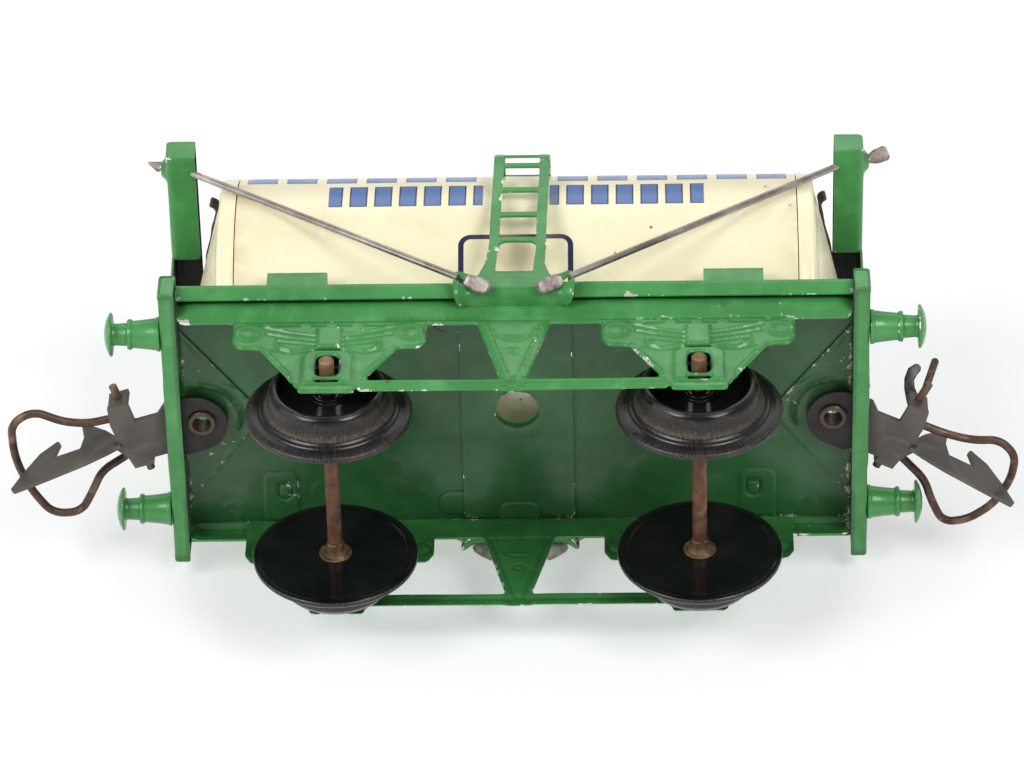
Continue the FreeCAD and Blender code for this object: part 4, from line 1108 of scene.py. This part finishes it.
def make_end_frame(end, sign):
    """T pressing: folded beam open towards the tank, flat post, and cupped bosses for the stays."""
    face = stock_high.x + 0.2
    depth, radius, curve = 5.0, 0.8, 1.26       # curve is the length of one folded corner
    near = face - depth
    low, high, half, post = 69.9, 75.3, beam_high.y, 6.7
    foot = DECK_TOP + 0.4
    fold = Fold([(near, low), (face, low), (face, high), (near, high)], radius, start=0.0)
    bend = depth - radius + curve

    def lean(x, z):
        return x + LEAN[end] * (z - foot) / (high - foot)

    def place(u, v, w):
        x, z = fold.at(v, -w)
        return (sign * lean(x, z), u, z)

    def boss_height(y, z):
        away = math.hypot(abs(y) - BOSS_Y, z - BOSS_Z)
        return 0.9 * (1 - ramp(away, 1.0, 2.3)) + 0.12 * ridge(away - 1.2, 0.3)

    def lift(u, v, edge):
        height = ripple(u, v, 12, 0.12, sign * 6.0) * ramp(edge, 0.2, 1.5)
        x, z = fold.at(v, 0.0)
        if x > face - 0.2:
            height += boss_height(u, z)
        return height

    total = fold.length
    outline = rounded([(-half, total), (-half, 0), (-post, 0), (-post, bend), (post, bend),
                       (post, 0), (half, 0), (half, total)],
                      [0.3, 0.3, 0.6, 0.1, 0.1, 0.6, 0.3, 0.3])
    middle = depth - 2 * radius + curve + (high - low) / 2
    holes = [ring((s * BOSS_Y, middle), 0.95, 20) for s in SIDES.values()]
    build = Build()
    build.add_sheet(*sheet(outline, place, SHEET, (0.55, 0.4), holes, lift, roll=0.05,
                           flip=sign < 0))

    def post_place(u, v, w):
        return (sign * (lean(face, v) + w), u, v)

    strip = rectangle(-post, foot, post, low + 1.0)
    build.add_sheet(*sheet(strip, post_place, SHEET, 0.8, flip=sign < 0,
                           lift=lambda u, v, edge: ripple(u, v, 14, 0.1, sign * 3.0)
                           * ramp(edge, 0, 2)))

    def foot_place(u, v, w):
        return (sign * u, v, foot + w)

    toe = rounded(rectangle(face - 4.0, -post, face - 0.02, post), [1.2, 0.2, 0.2, 1.2])
    build.add_sheet(*sheet(toe, foot_place, SHEET, 0.6, flip=sign < 0))
    for side in SIDES.values():
        def cap_place(u, v, w, side=side):
            return (sign * lean(u, v), side * (half + 0.1 + w), v)
        cap = rounded(rectangle(near, low + 0.05, face - 0.05, high - 0.05), [0.2, 0.8, 0.8, 0.4])
        build.add_sheet(*sheet(cap, cap_place, SHEET, 0.35, roll=0.12, roll_width=0.5,
                               flip=side * sign > 0))
    build.piece("end_pressing_" + end, GREEN, replaces=["end_frame_" + end],
                slot="green_enamel", under=INSIDE)


# ---------------------------------------------------------------- ladders
LADDER_Y = 26.5      # outer face of a ladder's upright part
LADDER_FOOT = 34.0   # height at which that part starts
LADDER_BEND = 9.4    # radius of the bend towards the tank


def ladder_path():
    """The strip from the solebar, up past the deck, over the bend and round the tank."""
    centre = Vector((LADDER_Y - LADDER_BEND, 69.0))
    hug = TANK_R + 0.65
    lean = centre - Vector((0, TANK_Z))
    heading = math.atan2(lean.y, lean.x)
    turn = (hug ** 2 - LADDER_BEND ** 2 - lean.length ** 2) / (2 * lean.length * LADDER_BEND)
    bend_angle = heading + math.acos(turn)
    meet = math.degrees(bend_angle)
    spot = centre + Vector((math.cos(bend_angle), math.sin(bend_angle))) * LADDER_BEND
    start = math.degrees(math.atan2(spot.y - TANK_Z, spot.x))
    stop = math.degrees(math.acos(8.5 / hug))
    path = [(23.1, 30.75), (24.9, 31.0)] + arc((LADDER_Y - 1.5, 32.5), 1.5, -75, 0, 5)[1:]
    path += [(LADDER_Y, z) for z in (LADDER_FOOT, 37.0, 50.0)]
    path += arc(tuple(centre), LADDER_BEND, 0, meet, 16)
    path += arc((0, TANK_Z), hug, start, stop, 10)[1:]
    return path


def make_ladder(side, sign):
    """Ladder strip with its foot plate, whose ears curl out round the stays."""
    path = ladder_path()
    fold = Fold(path, 0.0, start=0.0)
    base = fold.reach[path.index((LADDER_Y, LADDER_FOOT))]

    def level(z):
        """Distance along the strip of a height on its straight part."""
        return base + (z - LADDER_FOOT)

    def place(u, v, w):
        y, z = fold.at(v, -w)
        aside = 0.5 * ramp(v, level(37), level(46)) + 0.45 * ramp(v, level(46), level(72))
        return (u + aside, sign * y, z)

    def lift(u, v, edge):
        curl = 1.35 * ramp(abs(u), 6.8, 10.0) ** 1.4 * (1 - ramp(v, level(36), level(37.5)))
        return curl + ripple(u, v, 10, 0.06, sign * 5.0) * ramp(edge, 0, 1)

    top = fold.length
    half = [(4.75, top), (4.75, level(46)), (4.95, level(39.5)), (5.9, level(36.2)),
            (6.5, level(35.6)), (7.0, level(36.3)), (8.6, level(36.3)), (9.9, level(35.0)),
            (10.1, level(32.8)), (9.9, 2.6), (8.9, 1.0), (7.3, 0.45), (7.0, 0.2), (6.8, -0.1),
            (3.0, -0.1), (2.8, 0.3)]
    radii = [0.6, 8, 4, 1.2, 0.35, 0.6, 1.3, 1.6, 2.0, 2.0, 1.2, 0.6, 0.1, 0.1, 0.2, 0.2]
    outline = rounded(mirrored(half), radii + radii[::-1])
    gap = 3.05
    windows = [rounded([(-gap - 0.1, level(45.9)), (-gap - 0.1, level(37.2)),
                        (gap + 0.1, level(37.2)), (gap + 0.1, level(45.9))],
                       [1.5, 0.4, 0.4, 1.5])]
    pitch, rung = 7.4, 1.3
    for number in range(6):
        low = level(46.6) + number * pitch + rung / 2
        high = low + pitch - rung
        windows.append(rounded(rectangle(-gap, low, gap, high), 0.35))
    holes = windows + [ring((s * 8.9, level(33.6)), 0.8, 20) for s in ENDS.values()]
    shell = sheet(outline, place, SHEET, 0.42, holes, lift, roll=0.12, roll_width=0.45,
                  flip=sign > 0)
    Build().add(*shell).piece("ladder_strip_" + side, GREEN, replaces=["ladder_" + side],
                              slot="green_enamel")


# ---------------------------------------------------------------- stays and tank straps
def swept(stations, facing):
    """Shell of a wire whose section changes along it.

    Each station is a point with the half width and half thickness there; facing is the way the
    flattened parts look.
    """
    count = 20
    points = [Vector(point) for point, _, _ in stations]
    verts = []
    for index, (_, wide, thin) in enumerate(stations):
        way = points[min(index + 1, len(points) - 1)] - points[max(index - 1, 0)]
        way.normalize()
        across = way.cross(Vector(facing)).normalized()
        out = across.cross(way)
        flat = 0.5 if wide > 1.3 * thin else 1.0
        for step in range(count):
            angle = 2 * math.pi * step / count
            c, s = math.cos(angle), math.sin(angle)
            c = math.copysign(abs(c) ** flat, c)
            s = math.copysign(abs(s) ** flat, s)
            verts.append(points[index] + across * (c * wide) + out * (s * thin))
    faces = []
    for row in range(len(stations) - 1):
        for step in range(count):
            a, b = row * count + step, row * count + (step + 1) % count
            faces.append((a, b, b + count, a + count))
    faces.append(tuple(reversed(range(count))))
    faces.append(tuple(range(len(verts) - count, len(verts))))
    return verts, faces


def between(first, last, steps):
    return [Vector(first).lerp(Vector(last), step / steps) for step in range(steps + 1)]


# Flattened outer tips, as distance along the tip, half width and half thickness.
TAILS = {"right": [(0.5, 0.6, 0.6), (1.2, 1.0, 0.5), (2.0, 1.25, 0.45), (3.7, 1.35, 0.42),
                   (4.2, 0.9, 0.35)],
         "left": [(0.5, 0.6, 0.6), (0.9, 0.95, 0.4), (1.5, 0.75, 0.35), (2.3, 0.45, 0.3),
                  (3.0, 0.15, 0.15)],
         "rear": [(0.5, 0.6, 0.6), (0.9, 0.8, 0.45), (1.5, 0.5, 0.4)]}


def make_stay(end, x_sign, side, y_sign):
    """Wire stay from the end frame's boss to the ladder's ear, flattened at both ends."""
    lean = LEAN[end]
    face = stock_high.x + 0.2 + lean
    wire = 0.58
    boss = Vector((x_sign * (face + 0.9), y_sign * 23.9, 72.9))
    knee = Vector((x_sign * (face - 3.0), y_sign * 24.2, 71.6))
    lug = Vector((x_sign * 9.2, y_sign * 27.5, 33.9))
    tip = lug + (lug - knee).normalized() * 1.2 + Vector((-x_sign * 0.6, 0, -0.25))
    way = (lug - knee).normalized()
    shaft = [(point, wire, wire) for point in [boss, *rounded_corner(boss, knee, lug, 1.2),
                                               *between(knee, lug, 12)[1:]]]
    paddle = [(tip, 0.85, 0.62), (tip + way * 0.6, 1.2, 0.5), (tip + way * 2.4, 1.3, 0.5),
              (tip + way * 4.0, 1.15, 0.48), (tip + way * 4.5, 0.6, 0.4)]
    tail_way = Vector((x_sign * 0.93, y_sign * 0.28, 0.22)).normalized()
    tail = TAILS["rear" if side == "rear" else end]
    outer = [(boss + tail_way * (along - 0.6), wide, thin) for along, wide, thin in tail]
    toward = Vector((0.1, -0.62, -0.78)).normalized()
    build = Build().add(*swept(shaft, toward))
    build.piece(f"stay_rod_{side}_{end}", STAY, replaces=[f"stay_{side}_{end}"],
                slot="stay_wire")
    for name, stations in (("inner", paddle), ("outer", outer)):
        Build().add(*swept(stations, toward)).piece(f"stay_{name}_tip_{side}_{end}", STAY_END,
                                                    slot="stay_wire")


def rounded_corner(before, corner, after, radius):
    """A few points that round one corner in space."""
    start = corner + (before - corner).normalized() * radius
    stop = corner + (after - corner).normalized() * radius
    points = []
    for step in range(5):
        share = step / 4
        points.append(start * (1 - share) ** 2 + corner * (2 * share * (1 - share))
                      + stop * share ** 2)
    return points


def make_tank_strap(end, sign):
    """Dark band across the cap, its ends curled away from it."""
    reach, low, high = 18.6, 70.4, 73.2

    def place(u, v, w):
        curl = ramp(abs(u), reach - 2.6, reach)
        bulge = 0.55 + 1.5 * curl
        out = cone_x(math.hypot(u, v - TANK_Z)) + bulge + w
        return (sign * out, u - math.copysign(0.9 * curl ** 2, u), v)

    outline = rounded(rectangle(-reach, low, reach, high), 0.6)
    shell = sheet(outline, place, 0.45, 0.45, flip=sign < 0,
                  lift=lambda u, v, edge: ripple(u, v, 3, 0.25, sign * 8.0))
    Build().add(*shell).piece("strap_band_" + end, TIN, replaces=["tank_strap_" + end],
                              slot="strap_steel")


def make_right_ear():
    """The right drawbar's ear, curled up, and the loop's long end bent up outside it.

    Places are distances from the foot of the rivet that the drawbar swings on.
    """
    rivet = Vector((PIVOT_X, 0, eyelet_low.z))
    wire_end = rivet + Vector((15.5, -3.33, 3.2))
    wire_tip = rivet + Vector((17.5, -5.8, 8.7))
    wire = [(wire_end.lerp(wire_tip, share), radius, radius)
            for share, radius in ((0, 0.6), (0.12, 0.66), (0.5, 0.66), (0.93, 0.66), (0.98, 0.45),
                                  (1, 0.2))]
    Build().add(*swept(wire, (1, 0, 0))).piece("loop_end_right", LOOP, "loop_right",
                                               slot="loop_wire")
    curl = [((14.0, 0.6, 2.9), 1.2, 0.35), ((13.5, -0.5, 4.5), 1.1, 0.35),
            ((13.0, -1.65, 6.1), 0.9, 0.35), ((13.0, -2.6, 7.3), 0.85, 0.35),
            ((13.6, -3.5, 8.3), 0.95, 0.4), ((14.5, -3.95, 8.9), 0.75, 0.35),
            ((14.8, -4.2, 9.0), 0.35, 0.25)]
    strip = [(rivet + Vector(point), wide, thin) for point, wide, thin in curl]
    Build().add(*swept(strip, (0, -0.6, -0.8))).piece("ear_curl_right", BAR, "coupling_right",
                                                      slot="drawbar_steel")


# ---------------------------------------------------------------- carried-over nodes
def finish_nodes():
    """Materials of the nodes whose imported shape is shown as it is."""
    looks = {"coupling_loop_": LOOP, "drawbar_eyelet_": EYELET, "drawbar_left": BAR,
             "drawbar_right": BAR, "filler_cap": CREAM}
    for name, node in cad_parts.items():
        for start, material in looks.items():
            if name.startswith(start):
                for index in range(len(node.material_slots)):
                    node.material_slots[index].material = material


# ---------------------------------------------------------------- stage, lights, camera
def stage_plane(name, size, turn, place, shows_all):
    """Pale surface seen only from its front."""
    shader = Shader(name)
    speckle = shader.noise(5.0, 2.0)
    tone = shader.mix(shader.span(speckle, 0.3, 0.7), (0.55, 0.55, 0.55), (0.57, 0.57, 0.57))
    shader.surface(Base_Color=tone, Roughness=0.85, Specular_IOR_Level=0.1)
    shader.surface(Emission_Color=(0.97, 0.98, 1.0), Emission_Strength=0.43)
    clear = shader.node("BsdfTransparent")
    back = shader.node("NewGeometry").outputs["Backfacing"]
    choose = shader.node("MixShader", {0: back, 1: shader.body.outputs[0],
                                       2: clear.outputs[0]})
    shader.tree.links.new(choose.outputs[0], shader.out.inputs["Surface"])
    mesh = bpy.data.meshes.new(name)
    half = size / 2
    mesh.from_pydata([(-half, -half, 0), (half, -half, 0), (half, half, 0), (-half, half, 0)],
                     [], [(0, 1, 2, 3)])
    mesh.materials.append(shader.material)
    plane = bpy.data.objects.new(name, mesh)
    plane.matrix_world = Matrix.Translation(place) @ turn
    bpy.context.scene.collection.objects.link(plane)
    plane.visible_shadow = False
    if not shows_all:
        plane.visible_diffuse = False
        plane.visible_glossy = False


def make_stage():
    """The table that the wagon's rear side lies on, and a floor under its wheels."""
    table_y = ladder_high.y * MM + 0.0006
    stage_plane("table", 6.0, Matrix.Rotation(math.radians(90), 4, "X"), (0, table_y, 0), True)
    stage_plane("floor", 6.0, Matrix.Identity(4), (0, 0, -0.0001), False)


def area_light(name, place, aim, width, height, power):
    data = bpy.data.lights.new(name, "AREA")
    data.shape = "RECTANGLE"
    data.size = width
    data.size_y = height
    data.energy = power
    light = bpy.data.objects.new(name, data)
    bpy.context.scene.collection.objects.link(light)
    toward = (Vector(aim) - Vector(place)).normalized()
    light.matrix_world = Matrix.Translation(place) @ toward.to_track_quat("-Z", "Y").to_matrix(
        ).to_4x4()


def make_lights():
    """Two soft boxes on the camera's side, and weaker light from above, aside and behind."""
    area_light("key_left", (-0.72, -0.92, -0.52), (0, 0, 0.03), 0.5, 0.6, 8.2)
    area_light("key_right", (0.62, -0.95, -0.55), (0, 0, 0.03), 0.5, 0.6, 8.2)
    area_light("top_strip", (0.10, -0.70, 0.95), (0, 0, 0.03), 1.4, 0.5, 2.6)
    area_light("side_fill", (-1.1, -0.5, -0.25), (0, 0, 0.03), 0.6, 0.9, 2.5)
    area_light("rear_fill", (-0.5, 1.0, 0.7), (0, 0, 0.04), 1.0, 0.8, 5.0)
    world = bpy.data.worlds.new("studio")
    world.use_nodes = True
    world.node_tree.nodes["Background"].inputs["Color"].default_value = (0.95, 0.97, 1.0, 1)
    world.node_tree.nodes["Background"].inputs["Strength"].default_value = 0.40
    bpy.context.scene.world = world
    bpy.context.scene.view_settings.view_transform = "Standard"


def make_camera():
    """Long lens below and in front of the wagon, looking at its underside."""
    data = bpy.data.cameras.new("camera")
    data.sensor_width = 36.0
    data.lens = 210.06
    data.clip_start = 0.05
    data.clip_end = 20.0
    camera = bpy.data.objects.new("camera", data)
    bpy.context.scene.collection.objects.link(camera)
    tilt, yaw, roll = (math.radians(angle) for angle in (35.9711, 1.2843, -0.5960))
    pose = (Matrix.Rotation(roll, 3, "Z") @ Matrix.Rotation(yaw, 3, "Y")
            @ Matrix.Rotation(tilt, 3, "X"))
    right, down, ahead = pose
    turn = Matrix((right, -down, -ahead)).transposed()
    camera.matrix_world = Matrix.Translation((0.0217, -0.59391, -0.77669)) @ turn.to_4x4()
    bpy.context.scene.camera = camera


# ---------------------------------------------------------------- the wagon
make_camera()
make_stage()
make_lights()
make_deck()
make_tray()
make_cross_strap()
make_tank()
make_right_ear()
for end_name, end_sign in ENDS.items():
    make_gusset(end_name, end_sign)
    make_headstock(end_name, end_sign)
    make_axle(end_name, end_sign)
    make_tank_end(end_name, end_sign)
    make_saddle(end_name, end_sign)
    make_end_frame(end_name, end_sign)
    make_tank_strap(end_name, end_sign)
    for side_name, side_sign in SIDES.items():
        make_wheel(end_name, end_sign, side_name, side_sign)
        make_collar(end_name, end_sign, side_name, side_sign)
        make_buffer(end_name, end_sign, side_name, side_sign)
        make_stay(end_name, end_sign, side_name, side_sign)
for side_name, side_sign in SIDES.items():
    make_side_frame(side_name, side_sign)
    make_ladder(side_name, side_sign)
finish_nodes()
